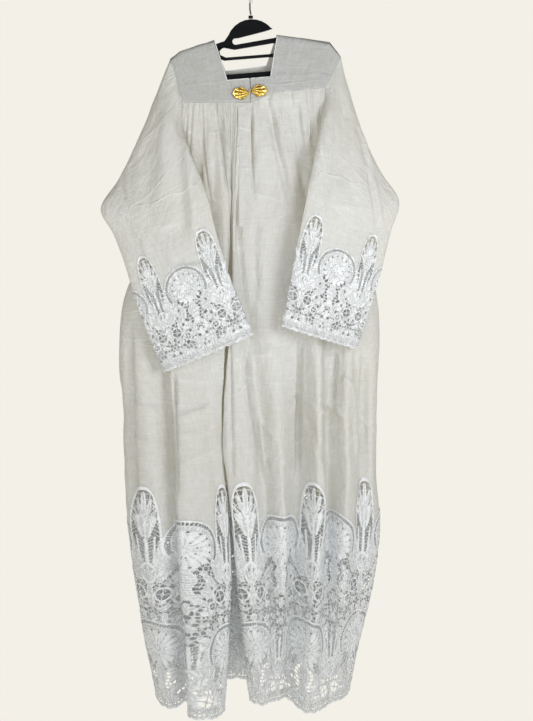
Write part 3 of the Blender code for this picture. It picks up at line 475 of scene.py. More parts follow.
class Sleeve:
    """A hanging sleeve, from its armhole to its cuff, read by place and height of cloth."""

    step = 0.0025

    def __init__(self, side, sections, fold_z):
        self.side = side
        self.outward = -1.0 if side == 0 else 1.0
        self.sections = sections
        self.fold_z = fold_z
        self.columns = np.linspace(CUFF_START, CUFF_END, 241)
        self.lay()

    def armhole(self, across, facing):
        """Points on the edge of the yoke and the body that the sleeve is sewn to."""
        top = SHOULDER_TIPS[self.side][1]
        start = FRONT.top(FRONT.places[-self.side])
        underarm = float(mix(start, HEM_Z, UNDERARM_LEVEL))
        share = (across + 1) / 2
        z = mix(self.fold_z, top, share)
        fallen = self.fold_z - share * (self.fold_z - underarm + top - underarm)
        z = np.where(facing > 0, fallen, z)
        facing = np.where((facing > 0) & (z < underarm), 1, -1)
        z = np.maximum(z, 2 * underarm - z)
        points = np.zeros((len(z), 3))
        for way, panel in ((-1, FRONT), (1, BACK)):
            sleeve_top = panel.top(panel.places[-self.side])
            ends = yoke_points([3.0 * self.side] * 2, [0.0, 1.0], way)[:, 2]
            down = np.clip((ends[0] - z) / (ends[0] - ends[1]), 0, 1)
            on_yoke = yoke_points(np.full(len(z), 3.0 * self.side), down, way)
            on_body = panel.edge(self.side, np.minimum(z, sleeve_top))
            chosen = np.where((z > sleeve_top)[:, None], on_yoke, on_body)
            points = np.where((facing == way)[:, None], chosen, points)
        return points

    def lay(self):
        """Lay the cloth as points at equal heights above the cuff, one row to each column."""
        place = self.columns
        facing = np.where(place <= CUFF_FOLD, -1, 1)
        across = np.where(facing < 0, mix(-1, 1, (place - CUFF_START) / (CUFF_FOLD - CUFF_START)),
                          mix(1, -1, (place - CUFF_FOLD) / (CUFF_END - CUFF_FOLD)))
        rings = [self.armhole(across, facing)]
        for row in self.sections:
            outer, inner = np.array(row[0:3]), np.array(row[3:6])
            width = (outer - inner) / np.linalg.norm(outer - inner)
            normal = np.array((0, 1, 0)) - width * width[1]
            normal /= np.linalg.norm(normal)
            bulge = np.clip(1 - across**2, 0, 1) ** 0.6 * row[6]
            rings.append(inner + (across[:, None] + 1) / 2 * (outer - inner)
                         + (facing * bulge)[:, None] * normal)
        stations = np.linspace(0, len(self.sections), 241)
        lines = smooth(range(len(rings)), np.array(rings), stations)
        steps = np.linalg.norm(np.diff(lines, axis=0), axis=2)
        above = np.concatenate((np.cumsum(steps[::-1], 0)[::-1], np.zeros((1, len(place)))))
        self.length = above[0]
        heights = np.arange(0, self.length.max() + self.step, self.step)
        self.cloth = np.stack([
            np.stack([np.interp(-heights, -above[:, c], lines[:, c, k]) for k in range(3)], 1)
            for c in range(len(place))])

    def points(self, place, height):
        """Points at places round the sleeve and heights of cloth above the cuff's edge."""
        c = np.clip((place - CUFF_START) / (CUFF_END - CUFF_START), 0, 1) * (len(self.columns) - 1)
        h = np.clip(height / self.step, 0, self.cloth.shape[1] - 1.001)
        i, j = np.minimum(c.astype(int), len(self.columns) - 2), h.astype(int)
        s, t = (c - i)[:, None], (h - j)[:, None]
        return mix(mix(self.cloth[i, j], self.cloth[i + 1, j], s),
                   mix(self.cloth[i, j + 1], self.cloth[i + 1, j + 1], s), t)

    def total(self, place):
        return np.interp(place, self.columns, self.length)


SLEEVES = {"right": Sleeve(0, RIGHT_SLEEVE, -0.300), "left": Sleeve(1, LEFT_SLEEVE, -0.235)}


# ---------------------------------------------------------------- lace, drawn flat


def palmette_depth(x, y):
    """How far inside a palmette's outline a point lies, in mm."""
    across, up = np.abs(x) / PALMETTE_HALF, np.abs(y - PALMETTE_FOOT) / PALMETTE_RISE
    reach = np.maximum(across**PALMETTE_BLUNT + up**PALMETTE_BLUNT, 1e-3) ** (1 / PALMETTE_BLUNT)
    slope = np.hypot((across / reach) ** (PALMETTE_BLUNT - 1) / PALMETTE_HALF,
                     (up / reach) ** (PALMETTE_BLUNT - 1) / PALMETTE_RISE)
    return (1.0 - reach) / np.maximum(slope, 1 / 60)


def arch_depth(x, y):
    return ARCH_RADIUS - np.hypot(x - HALF, y - ARCH_CENTRE)


class Drawing:
    """Lace in flat millimetres: how far inside the cloth a point lies, and how far it stands up."""

    def __init__(self, x, y, cloth=None, rise=None):
        self.x, self.y = x, y
        self.cloth = np.full(x.shape, -9.0) if cloth is None else cloth
        self.rise = np.zeros(x.shape) if rise is None else rise

    def moved(self, x, y):
        """The same drawing, with new motifs placed from other axes."""
        return Drawing(x, y, self.cloth, self.rise)

    def add(self, inside, rise):
        np.maximum(self.cloth, inside, out=self.cloth)
        np.copyto(self.rise, np.broadcast_to(rise, self.rise.shape), where=inside > 0)

    def cut(self, inside):
        np.minimum(self.cloth, -inside, out=self.cloth)

    def eyelet(self, x, y, radius):
        self.cut(radius - np.hypot(self.x - x, self.y - y))

    def cord(self, distance, width, rise, within=None):
        inside = width / 2 - distance
        if within is not None:
            inside = np.minimum(inside, within)
        self.add(inside, rise * (0.25 + 0.75 * np.sqrt(np.clip(1 - (2 * distance / width) ** 2, 0, 1))))

    def bar(self, start, end, width, rise=0.5):
        run = np.subtract(end, start)
        t = ((self.x - start[0]) * run[0] + (self.y - start[1]) * run[1]) / run.dot(run)
        t = np.clip(t, 0, 1)
        self.cord(np.hypot(self.x - start[0] - t * run[0], self.y - start[1] - t * run[1]), width, rise)

    def petal(self, base, tip, width, rise=1.1, fat=0.45, ribs=4.6):
        """A padded petal, with a vein, ribs that run out from it and a corded rim."""
        run = np.subtract(tip, base)
        length = math.hypot(*run)
        t = ((self.x - base[0]) * run[0] + (self.y - base[1]) * run[1]) / length**2
        s = ((self.y - base[1]) * run[0] - (self.x - base[0]) * run[1]) / length
        lean = np.abs(t - fat) / np.where(t < fat, fat, 1 - fat)
        half = width / 2 * np.sqrt(np.clip(1 - lean**2.2, 0, 1))
        inside = np.where((t > 0) & (t < 1), half - np.abs(s), -9.0)
        inside = np.minimum(inside, np.minimum(t, 1 - t) * length)
        dome = np.sqrt(np.clip(1 - (s / np.maximum(half, 0.1)) ** 2, 0, 1))
        rib = np.cos(2 * math.pi * (t * length + 0.8 * np.abs(s)) / ribs)
        self.add(inside, rise * (0.25 + (0.40 + 0.25 * rib) * dome - 0.45 * np.exp(-(s / 1.0) ** 2)
                                 + 0.50 * np.exp(-((inside - 1.3) / 0.9) ** 2)))

    def polar(self, centre):
        dx, dy = self.x - centre[0], self.y - centre[1]
        return np.hypot(dx, dy), np.arctan2(dy, dx)


def draw_palmette(d, bar):
    """Corded outline round a lattice, with three fingers that stand in a ribbed cup."""
    depth = palmette_depth(d.x, d.y)
    upper = np.where(d.y > LACE_JOIN - 8, 9.0, -9.0)
    d.cord(np.abs(depth - 2.3), 4.8, 1.9, upper)
    inner = np.minimum(depth - 3.0, d.y - 446.0)
    r, a = d.polar((0.0, 496.0))
    turn = np.abs(math.pi / 2 - a)
    for lean in (14, 38, 58, 78, 98):
        off = turn - math.radians(lean)
        d.cord(np.abs(r * np.sin(off)), bar, 0.5, np.minimum(inner, 40 - np.abs(off) * 57))
    for radius in (31.0, 47.0, 61.0):
        d.cord(np.abs(r - radius), bar, 0.5, np.minimum(inner, d.y - 478))
    side = np.minimum(np.minimum(depth - 3.0, 488 - d.y), d.y - 446)
    d.cord(from_multiple(d.y + 0.8 * np.abs(d.x), 10.5), bar, 0.5, side)
    d.petal((0, 500), (0, 562), 10.5, 1.9, 0.6, 5.0)
    d.petal((5, 498), (15.5, 545), 8.0, 1.7, 0.6, 5.0)
    d.petal((10, 494), (26, 520), 7.0, 1.6, 0.6, 5.0)
    cup = np.minimum(4.5 + (d.y - 440) * 0.40, 31 - (d.y - 470) * 0.15) - np.abs(d.x)
    top = 503 - 0.16 * (np.abs(d.x) - 13) ** 2 / 4 - d.y
    inside = np.minimum(np.minimum(cup, top), d.y - 436)
    fan = np.cos(np.arctan2(d.x, d.y - 415) * 34)
    d.add(inside, 1.05 + 0.55 * fan + 0.8 * np.exp(-((inside - 1.5) / 1.1) ** 2))


def draw_stem(d, bar):
    """Stem between rows of slits, tulip bud, and the scroll rings under it."""
    slits = np.minimum(np.minimum(d.y - 388, 448 - d.y), 16.0 - np.abs(d.x))
    d.cut(np.minimum(slits, np.abs(d.x) - 3.0))
    d.cord(from_multiple(d.y - 0.5 * np.abs(d.x), 7.6), bar * 0.95, 0.4, slits)
    d.bar((0, 384), (0, 442), 8.0, 1.7)
    d.bar((18.5, 450), (12.5, 386), 5.0, 1.6)
    r = np.hypot(d.x / 17.0, (d.y - 359) / 28.0)
    d.add((1 - r) * 18, 0.4)
    d.cord(np.abs(r - 0.86) * 18, 5.0, 1.8)
    d.petal((0, 338), (0, 381), 6.5, 1.7)
    d.petal((5.0, 338), (9.0, 372), 4.0, 1.5)
    d.cut(1.5 - np.hypot(np.abs(d.x) - 5.2, (d.y - 366) / 3.4))
    for centre, radius, knob in (((25.0, 303.0), 18.5, 8.5), ((55.0, 281.0), 13.5, 6.0)):
        r, a = d.polar(centre)
        d.cut(radius - 1 - r)
        d.cord(np.abs(r - radius + 2.2), 4.8, 1.9)
        d.cord(r, knob, 1.8)
        d.cord(r * np.abs(np.sin(2 * a + 0.5)) / 2, bar, 0.5, radius - r)
    d.petal((0, 332), (0, 270), 14.0, 1.7, 0.45, 5.0)


def draw_leaves(d):
    for base, tip, width in (((17, 356), (40, 444), 25), ((19, 334), (54, 398), 24),
                             ((38, 326), (76, 358), 20), ((46, 304), (85, 322), 17),
                             ((70, 284), (92, 302), 14), ((96, 312), (76, 366), 15),
                             ((40, 272), (14, 262), 13), ((84, 268), (66, 262), 12),
                             ((60, 318), (72, 300), 11)):
        d.petal(base, tip, width, 1.7, 0.5, 5.0)


def draw_arch(d, bar):
    """Ladder between two cords, a fan of petals inside, and the ribbed vase that it stands on."""
    depth = arch_depth(d.x, d.y)
    r, a = d.polar((HALF, ARCH_CENTRE))
    over = np.clip(d.y - 396, -9, 9)
    turn = a - math.pi / 2
    ladder = np.minimum(np.minimum(depth - 4, 13.0 - depth), over)
    d.cut(ladder)
    d.cord(from_multiple(turn * (ARCH_RADIUS - 9), 5.6), bar * 0.85, 0.5, np.minimum(ladder + 1, over))
    d.cord(np.abs(depth - 2.2), 4.6, 1.8, over)
    d.cord(np.abs(depth - 14.6), 3.8, 1.8, over)
    ring = np.minimum(np.minimum(depth - 15, 26.5 - depth), over)
    d.add(ring, 0.75 + 0.55 * np.cos(turn * (ARCH_RADIUS - 20) * 2 * math.pi / 5.4))
    petals = 16
    part = from_multiple(turn, 2 * math.pi / petals) * petals / math.pi
    inside = 47.5 - 5.5 * part**2 - r
    vein = np.cos(2 * math.pi * (r + 5 * part**2) / 5.2)
    d.add(inside, 0.55 + 1.0 * np.sqrt(np.clip(1 - part**2, 0, 1)) + 0.35 * vein
          - 0.8 * np.exp(-((1 - part) * r / 2.6) ** 2))
    d.cord(np.abs(r - 12), 3.6, 2.0)
    d.cord(np.abs(r - 29), 3.0, 1.9)
    d.cord(r, 12.0, 1.9)
    for k in range(petals):
        angle = 2 * math.pi * (k + 0.5) / petals
        for out, radius in ((44.5, 2.7), (19.5, 1.9))[:1 + k % 2]:
            d.eyelet(HALF + out * math.cos(angle), ARCH_CENTRE + out * math.sin(angle), radius)
    half = 10 + 8 * np.cos((d.y - 350) / 15.0) ** 2
    inside = np.minimum(half - np.abs(d.x - HALF), np.minimum(d.y - 306, 378 - d.y))
    gap = np.minimum(inside + 8.0, np.minimum(d.y - 312, 368 - d.y))
    d.cut(gap)
    d.cord(from_multiple(d.y, 9.5), bar, 0.5, gap + 1)
    d.add(inside, 1.0 + 0.5 * np.cos(2 * math.pi * d.y / 6.2) + 0.5 * np.exp(-((inside - 1.4) / 0.8) ** 2))
    for dx, dy in ((0, 15), (0, -15), (15, 0), (-15, 0)):
        d.petal((HALF, 279), (HALF + dx, 279 + dy), 11.5, 1.7)
    for dx, dy in ((8.5, 8.5), (8.5, -8.5), (-8.5, 8.5), (-8.5, -8.5)):
        d.eyelet(HALF + dx, 279 + dy, 2.6)


def draw_crown(d):
    """Leaves that stand round the outside of a lower arch."""
    for k in (-3.9, -3, -2, -1, 0, 1, 2, 3, 3.9):
        angle = math.pi / 2 + k * 0.29
        reach = 98.0 if k % 2 else 92.0
        ends = [(HALF + r * math.cos(angle), ARCH_CENTRE + r * math.sin(angle)) for r in (73.0, reach)]
        d.petal(*ends, 16.0, 1.7, 0.5, 5.0)


def draw_scallops(d, width, bottom):
    """Scalloped edge with its clusters of round eyelets."""
    s = 2 * from_multiple(d.x - width / 2, width) / width
    y = d.y - bottom
    edge = y + 4.0 - 6.5 * (1 - np.sqrt(np.clip(1 - 0.92 * s**2, 0, 1)))
    d.add(np.minimum(edge, 27.0 - y), 0.55 + 0.2 * np.cos(2 * math.pi * (y + 0.6 * s * width) / 3.4))
    d.cord(np.abs(edge - 1.9), 4.0, 1.5)
    d.cord(np.abs(y - 25.0), 3.0, 1.1)
    side = s * width / 2
    for hole_x, hole_y, radius in ((0, 8.3, 2.4), (7.0, 9.2, 2.1), (0, 16.5, 1.8)):
        d.cut(radius - np.hypot(side - hole_x, y - hole_y))
    d.cut(-edge)


def net(x, y, spacing, seed):
    """Distance to the bars of an irregular net, to the middle of each cell, and a number for it."""
    rng = np.random.default_rng(seed)
    columns, rows = int(x.max() / spacing) + 4, int(np.ptp(y) / spacing) + 4
    jitter = rng.uniform(-0.36, 0.36, (columns, rows, 2))
    numbers = rng.uniform(0, 1, (columns, rows))
    column = np.floor(x / spacing).astype(int) + 1
    row = np.floor((y - y.min()) / spacing).astype(int) + 1
    first, second, number = np.full(x.shape, 1e9), np.full(x.shape, 1e9), np.zeros(x.shape)
    for di in (-1, 0, 1):
        for dj in (-1, 0, 1):
            i, j = np.clip(column + di, 0, columns - 1), np.clip(row + dj, 0, rows - 1)
            knot_x = (i - 0.5 + jitter[i, j, 0] + 0.5 * (j % 2)) * spacing
            knot_y = (j - 0.5 + jitter[i, j, 1]) * spacing + y.min()
            distance = np.hypot(x - knot_x, y - knot_y)
            number = np.where(distance < first, numbers[i, j], number)
            second = np.minimum(second, np.maximum(first, distance))
            first = np.minimum(first, distance)
    return (second - first) / 2, first, number


class Lace:
    """Half a repeat of finished lace, which folds out to both sides."""

    step = 0.5
    low = -10.0

    def __init__(self, bar, bottom, scallop, mesh):
        across, up = np.arange(0, HALF + self.step, self.step), np.arange(self.low, 590, self.step)
        x, y = np.meshgrid(across, up, indexing="ij")
        d = Drawing(x, y)
        distance, middle, number = net(x, y, mesh, 5)
        closed = np.where(number < np.where(y < 90, 0.74, 0.30), 1.0, -9.0)
        d.add(closed, 0.45 + 0.9 * np.clip(1 - (middle / mesh / 0.62) ** 2, 0, 1))
        d.cord(distance, bar * 1.05, 0.55)
        palmette = palmette_depth(x, y)
        inside_palmette = (palmette > 0) & (y > 440)
        d.cloth[inside_palmette] = -9
        d.rise[inside_palmette] = 0
        draw_palmette(d, bar)
        draw_stem(d, bar)
        draw_leaves(d)
        draw_arch(d, bar)
        lower = d.moved(HALF - x, y + TIER_DROP)
        draw_crown(lower)
        draw_stem(lower, bar)
        draw_leaves(lower)
        draw_arch(lower, bar)
        draw_scallops(d, scallop, bottom)
        edge = np.where(y > LACE_JOIN, np.maximum(palmette, arch_depth(x, y)), 9)
        self.cloth = np.minimum(d.cloth, edge)
        self.rise = d.rise

    def read(self, x, y):
        """Depth inside the cloth, and relief, at places in mm."""
        u = np.abs((x % (2 * HALF)) - HALF) / self.step
        v = np.clip((y - self.low) / self.step, 0, self.cloth.shape[1] - 1.001)
        i, j = np.minimum(u.astype(int), self.cloth.shape[0] - 2), v.astype(int)
        s, t = u - i, v - j
        return [mix(mix(table[i, j], table[i + 1, j], s), mix(table[i, j + 1], table[i + 1, j + 1], s), t)
                for table in (self.cloth, self.rise)]


# ---------------------------------------------------------------- meshes

# Marching squares: for each set of corners inside (a 1, b 2, c 4, d 8), the outline of the cloth
CORNERS = {1: ("a", "ab", "da"), 2: ("b", "bc", "ab"), 3: ("a", "b", "bc", "da"), 4: ("c", "cd", "bc"),
           5: ("a", "ab", "bc", "c", "cd", "da"), 6: ("b", "c", "cd", "ab"),
           7: ("a", "b", "c", "cd", "da"), 8: ("d", "da", "cd"), 9: ("a", "ab", "cd", "d"),
           10: ("b", "bc", "cd", "d", "da", "ab"), 11: ("a", "b", "bc", "cd", "d"),
           12: ("c", "d", "da", "bc"), 13: ("a", "ab", "bc", "c", "d"), 14: ("b", "c", "d", "da", "ab"),
           15: ("a", "b", "c", "d")}


def cut_out(u, v, keep):
    """Cut cloth from a flat grid where keep is positive: flat points and faces."""
    inside = keep > 0
    count = np.cumsum(inside).reshape(inside.shape) - 1
    flats = [np.stack([grid[inside] for grid in np.meshgrid(u, v, indexing="ij")], 1)]
    total = len(flats[0])
    crossings = []
    for axis in (0, 1):
        every = slice(None)
        low, high = [(ends, every) if axis == 0 else (every, ends) for ends in (slice(-1), slice(1, None))]
        crossed = inside[low] != inside[high]
        ids = np.cumsum(crossed).reshape(crossed.shape) - 1 + total
        i, j = np.nonzero(crossed)
        a, b = keep[low][crossed], keep[high][crossed]
        t = np.clip(a / (a - b), 0.08, 0.92)
        if axis == 0:
            flats.append(np.stack((mix(u[i], u[i + 1], t), v[j]), 1))
        else:
            flats.append(np.stack((u[i], mix(v[j], v[j + 1], t)), 1))
        total += len(i)
        crossings.append(ids)
    along_u, along_v = crossings
    slots = {"a": count[:-1, :-1], "b": count[1:, :-1], "c": count[1:, 1:], "d": count[:-1, 1:],
             "ab": along_u[:, :-1], "cd": along_u[:, 1:], "da": along_v[:-1], "bc": along_v[1:]}
    case = (inside[:-1, :-1] + 2 * inside[1:, :-1] + 4 * inside[1:, 1:] + 8 * inside[:-1, 1:])
    faces = [np.stack([slots[name][case == k] for name in names], 1) for k, names in CORNERS.items()]
    return np.concatenate(flats), [f for f in faces if len(f)]


def tube_faces(rings, sides):
    """Faces between closed rings of points, one ring after another."""
    i, j = np.meshgrid(np.arange(rings - 1), np.arange(sides), indexing="ij")
    k = (j + 1) % sides
    faces = np.stack((i * sides + j, i * sides + k, (i + 1) * sides + k, (i + 1) * sides + j), -1)
    return faces.reshape(-1, 4)


def grid_faces(columns, rows, keep=None):
    """Faces of a grid of points, with the points of a column together."""
    i, j = np.meshgrid(np.arange(columns - 1), np.arange(rows - 1), indexing="ij")
    faces = np.stack((i * rows + j, (i + 1) * rows + j, (i + 1) * rows + j + 1, i * rows + j + 1), -1)
    return [faces.reshape(-1, 4) if keep is None else faces[keep(i, j)]]


def normals_of(points, faces):
    """Unit normals at the points of a mesh."""
    total = np.zeros_like(points)
    for group in faces:
        a, b, c = (points[group[:, k]] for k in (0, 1, 2))
        square = np.cross(b - a, c - a)
        for k in range(group.shape[1]):
            for axis in range(3):
                total[:, axis] += np.bincount(group[:, k], square[:, axis], len(points))
    return total / np.maximum(np.linalg.norm(total, axis=1), 1e-12)[:, None]


def flat_area(flat, faces):
    """Area of flat faces, in square metres."""
    area = 0.0
    for group in faces:
        x, y = flat[group, 0], flat[group, 1]
        area += 0.5 * np.abs((x * np.roll(y, -1, 1) - np.roll(x, -1, 1) * y).sum(1)).sum()
    return float(area)


def only_used(count, faces):
    """Which of a count of points the faces use, and the faces on those alone."""
    used = np.unique(np.concatenate([group.ravel() for group in faces]))
    new = np.full(count, -1)
    new[used] = np.arange(len(used))
    return used, [new[group] for group in faces]


def add_mesh(name, points, faces, flat=None, rise=None):
    """Make a shaded object from points and groups of faces, with its flat cut as UVs."""
    mesh = bpy.data.meshes.new(name)
    loops = np.concatenate([group.ravel() for group in faces])
    sizes = np.concatenate([np.full(len(group), group.shape[1]) for group in faces])
    mesh.vertices.add(len(points))
    mesh.vertices.foreach_set("co", points.astype(np.float32).ravel())
    mesh.loops.add(len(loops))
    mesh.loops.foreach_set("vertex_index", loops.astype(np.int32))
    mesh.polygons.add(len(sizes))
    mesh.polygons.foreach_set("loop_start", (np.cumsum(sizes) - sizes).astype(np.int32))
    mesh.update(calc_edges=True)
    mesh.shade_smooth()
    if flat is not None:
        layer = mesh.uv_layers.new(name="cut")
        layer.data.foreach_set("uv", flat[loops].astype(np.float32).ravel())
    if rise is not None:
        layer = mesh.attributes.new("rise", "FLOAT", "POINT")
        layer.data.foreach_set("value", rise.astype(np.float32))
    obj = bpy.data.objects.new(name, mesh)
    bpy.context.scene.collection.objects.link(obj)
    return obj


def finish_piece(obj, finish, slot, *nodes):
    """Give a piece its finish, attach it to the root, and hide the frame's nodes that it stands for."""
    obj.data.materials.clear()
    obj.data.materials.append(finish)
    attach(obj, ROOT)
    if nodes:
        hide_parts(*nodes)
    return obj


def hang_cloth(context, kind, name, points, faces, flat, relief, outward,
               rise=None, node=None):
    """A sheet of cloth: its hung points, moved along their normals by its relief."""
    used, faces = only_used(len(points), faces)
    points, flat, relief = points[used], flat[used], relief[used]
    normals = normals_of(points, faces)
    if (normals * outward(points)).sum() < 0:
        normals = -normals
        faces = [group[:, ::-1] for group in faces]
    shade = relief if rise is None else rise[used]
    obj = add_mesh(name + "_cloth", points + normals * relief[:, None], faces, flat, shade)
    finish_piece(obj, finish_of(context, kind), SLOTS[kind], node or name)
    spread = np.ptp(flat, axis=0)
    area = min(flat_area(flat, faces), spread[0] * spread[1])
    return obj


ACROSS_CORDS = (0.31, 0.2, 0.93)   # no cord here runs this way


def cord_along(points, radius, sides=6):
    """A round cord through points, as a closed mesh."""
    points = np.asarray(points, float)
    run = unit(np.gradient(points, axis=0))
    side = unit(np.cross(run, ACROSS_CORDS))
    other = np.cross(run, side)
    angles = np.linspace(0, 2 * math.pi, sides, endpoint=False)
    ring = np.cos(angles)[:, None, None] * side + np.sin(angles)[:, None, None] * other
    verts = (points + radius * ring).transpose(1, 0, 2).reshape(-1, 3)
    caps = np.array([np.arange(sides)[::-1], np.arange(sides) + (len(points) - 1) * sides])
    return verts, [tube_faces(len(points), sides), caps]


STITCH_ARCH = ((0.0, -0.4), (0.25, 0.55), (0.75, 0.55), (1.0, -0.4))   # share of its length, and lift


def stitches_along(points, outward, pitch, length, radius):
    """A row of sewn stitches: short rounded bars that lie on the cloth."""
    points, outward = np.asarray(points, float), np.asarray(outward, float)
    reach = np.concatenate(([0], np.cumsum(np.linalg.norm(np.diff(points, axis=0), axis=1))))
    starts = np.arange(0, reach[-1] - length, pitch)

    def read(table, at):
        return np.stack([np.interp(at, reach, table[:, k]) for k in range(3)], 1)

    verts, quads = [], []
    way = read(points, starts + length) - read(points, starts)
    for share, lift in STITCH_ARCH:
        up = read(outward, starts + share * length)
        side = unit(np.cross(way, up))
        centre = read(points, starts + share * length) + up * radius * lift
        verts.append(np.stack((centre + side * radius, centre + up * radius * 0.7,
                               centre - side * radius, centre - up * radius), 1))
    verts = np.concatenate(verts, 1).reshape(-1, 3)
    for n in range(len(starts)):
        base = 16 * n
        for ring in range(3):
            for k in range(4):
                a, b = base + 4 * ring + k, base + 4 * ring + (k + 1) % 4
                quads.append((a, b, b + 4, a + 4))
        quads += [(base + 3, base + 2, base + 1, base), (base + 12, base + 13, base + 14, base + 15)]
    return verts, [np.array(quads)]


def join(parts):
    """Put several lists of points and faces together."""
    points, faces, start = [], [], 0
    for verts, groups in parts:
        points.append(verts)
        faces += [group + start for group in groups]
        start += len(verts)
    return np.concatenate(points), faces


# ---------------------------------------------------------------- finishes


class Socket:
    """A shader output that takes part in sums."""

    def __init__(self, graph, output):
        self.graph, self.output = graph, output

    def __add__(self, other):
        return self.graph.maths("ADD", self, other)

    def __radd__(self, other):
        return self.graph.maths("ADD", other, self)

    def __sub__(self, other):
        return self.graph.maths("SUBTRACT", self, other)

    def __rsub__(self, other):
        return self.graph.maths("SUBTRACT", other, self)

    def __mul__(self, other):
        return self.graph.maths("MULTIPLY", self, other)

    def __rmul__(self, other):
        return self.graph.maths("MULTIPLY", other, self)


class Graph:
    """The nodes of one material, with a Principled shader at the end."""

    def __init__(self, name, constants):
        self.material = bpy.data.materials.new(name)
        self.material.use_nodes = True
        self.tree = self.material.node_tree
        self.shader = self.tree.nodes["Principled BSDF"]
        self.surface = self.tree.nodes["Material Output"]
        for key, value in constants.items():
            self.shader.inputs[key].default_value = value

    def node(self, kind, settings, values):
        """Add a node, set it, and join or set its inputs."""
        node = self.tree.nodes.new(kind)
        for key, value in settings.items():
            setattr(node, key, value)
        self.fill(node, values)
        return node

    def fill(self, node, values):
        for key, value in values.items():
            if isinstance(value, Socket):
                self.tree.links.new(value.output, node.inputs[key])
            else:
                node.inputs[key].default_value = value

    def read(self, kind, settings, values, output=0):
        return Socket(self, self.node(kind, settings, values).outputs[output])

    def maths(self, operation, *values):
        return self.read("ShaderNodeMath", {"operation": operation}, dict(enumerate(values)))

    def blend(self, factor, a, b, kind="MIX"):
        settings = {"data_type": "RGBA", "blend_type": kind, "clamp_factor": True}
        return self.read("ShaderNodeMix", settings, {0: factor, 6: a, 7: b}, 2)

    def noise(self, place, scale, detail=3.0, rough=0.5, output=0):
        """Noise with one scale, or with a scale for each direction."""
        if isinstance(scale, tuple):
            place, scale = self.stretched(place, scale), 1.0
        values = {"Vector": place, "Scale": scale, "Detail": detail, "Roughness": rough}
        return self.read("ShaderNodeTexNoise", {}, values, output)

    def woven(self, flat, up, across, detail=3.0, rough=0.6):
        """The mean of noise that is drawn out up the cloth and across it."""
        return self.noise(flat, up, detail, rough) * 0.5 + self.noise(flat, across, detail, rough) * 0.5

    def stretched(self, place, scale):
        return self.read("ShaderNodeMapping", {"vector_type": "POINT"}, {"Vector": place, "Scale": scale})

    def swirled(self, place, scale, detail, reach):
        """A place that noise moves about, by a reach for each direction."""
        values = {0: self.noise(place, scale, detail, 0.5, 1), 1: reach, 2: place}
        return self.read("ShaderNodeVectorMath", {"operation": "MULTIPLY_ADD"}, values)

    def borders(self, place, scale):
        """Distance to the borders of irregular cells, with a scale for each direction."""
        values = {"Vector": self.stretched(place, scale), "Scale": 1.0}
        return self.read("ShaderNodeTexVoronoi", {"feature": "DISTANCE_TO_EDGE"}, values)

    def cut(self):
        """The place in the flat cut, in metres."""
        return self.read("ShaderNodeUVMap", {"uv_map": "cut"}, {})

    def rise(self):
        """How far the piece stands up there, as its mesh says."""
        settings = {"attribute_type": "GEOMETRY", "attribute_name": "rise"}
        return self.read("ShaderNodeAttribute", settings, {}, 2)

    def place(self):
        return self.read("ShaderNodeTexCoord", {}, {}, 3)

    def tinted(self, colour, tint):
        return self.blend(1.0, colour, rgba(tint), "MULTIPLY")

    def band(self, value, low, high, start=0.0, end=1.0):
        """Take a value smoothly from start at low to end at high."""
        values = {"Value": value, "From Min": low, "From Max": high, "To Min": start, "To Max": end}
        return self.read("ShaderNodeMapRange", {"interpolation_type": "SMOOTHSTEP"}, values)

    def bump(self, height, distance, strength=1.0, normal=None):
        values = {"Height": height, "Distance": distance, "Strength": strength}
        if normal is not None:
            values["Normal"] = normal
        return self.read("ShaderNodeBump", {}, values)

    def through(self, colour, share, normal):
        """Let a share of the light through, as thin cloth does."""
        glow = self.read("ShaderNodeBsdfTranslucent", {}, {"Color": colour, "Normal": normal})
        base = Socket(self, self.shader.outputs[0])
        mixed = self.read("ShaderNodeMixShader", {}, {0: share, 1: base, 2: glow})
        self.fill(self.surface, {"Surface": mixed})


def rgba(colour):
    return (*colour, 1.0)


SHEEN = {"Sheen Weight": 0.12, "Sheen Roughness": 0.5}
YELLOWED = (0.965, 0.955, 0.925)
GREYED = (0.925, 0.92, 0.905)
BLUED = (0.94, 0.95, 0.95)
DOUBLED_SHADE_TONE = 0.645         # darkening of the yoke's linen, laid double: painted shade, as the yoke is lit less
DOUBLED_THROUGH = 0.3


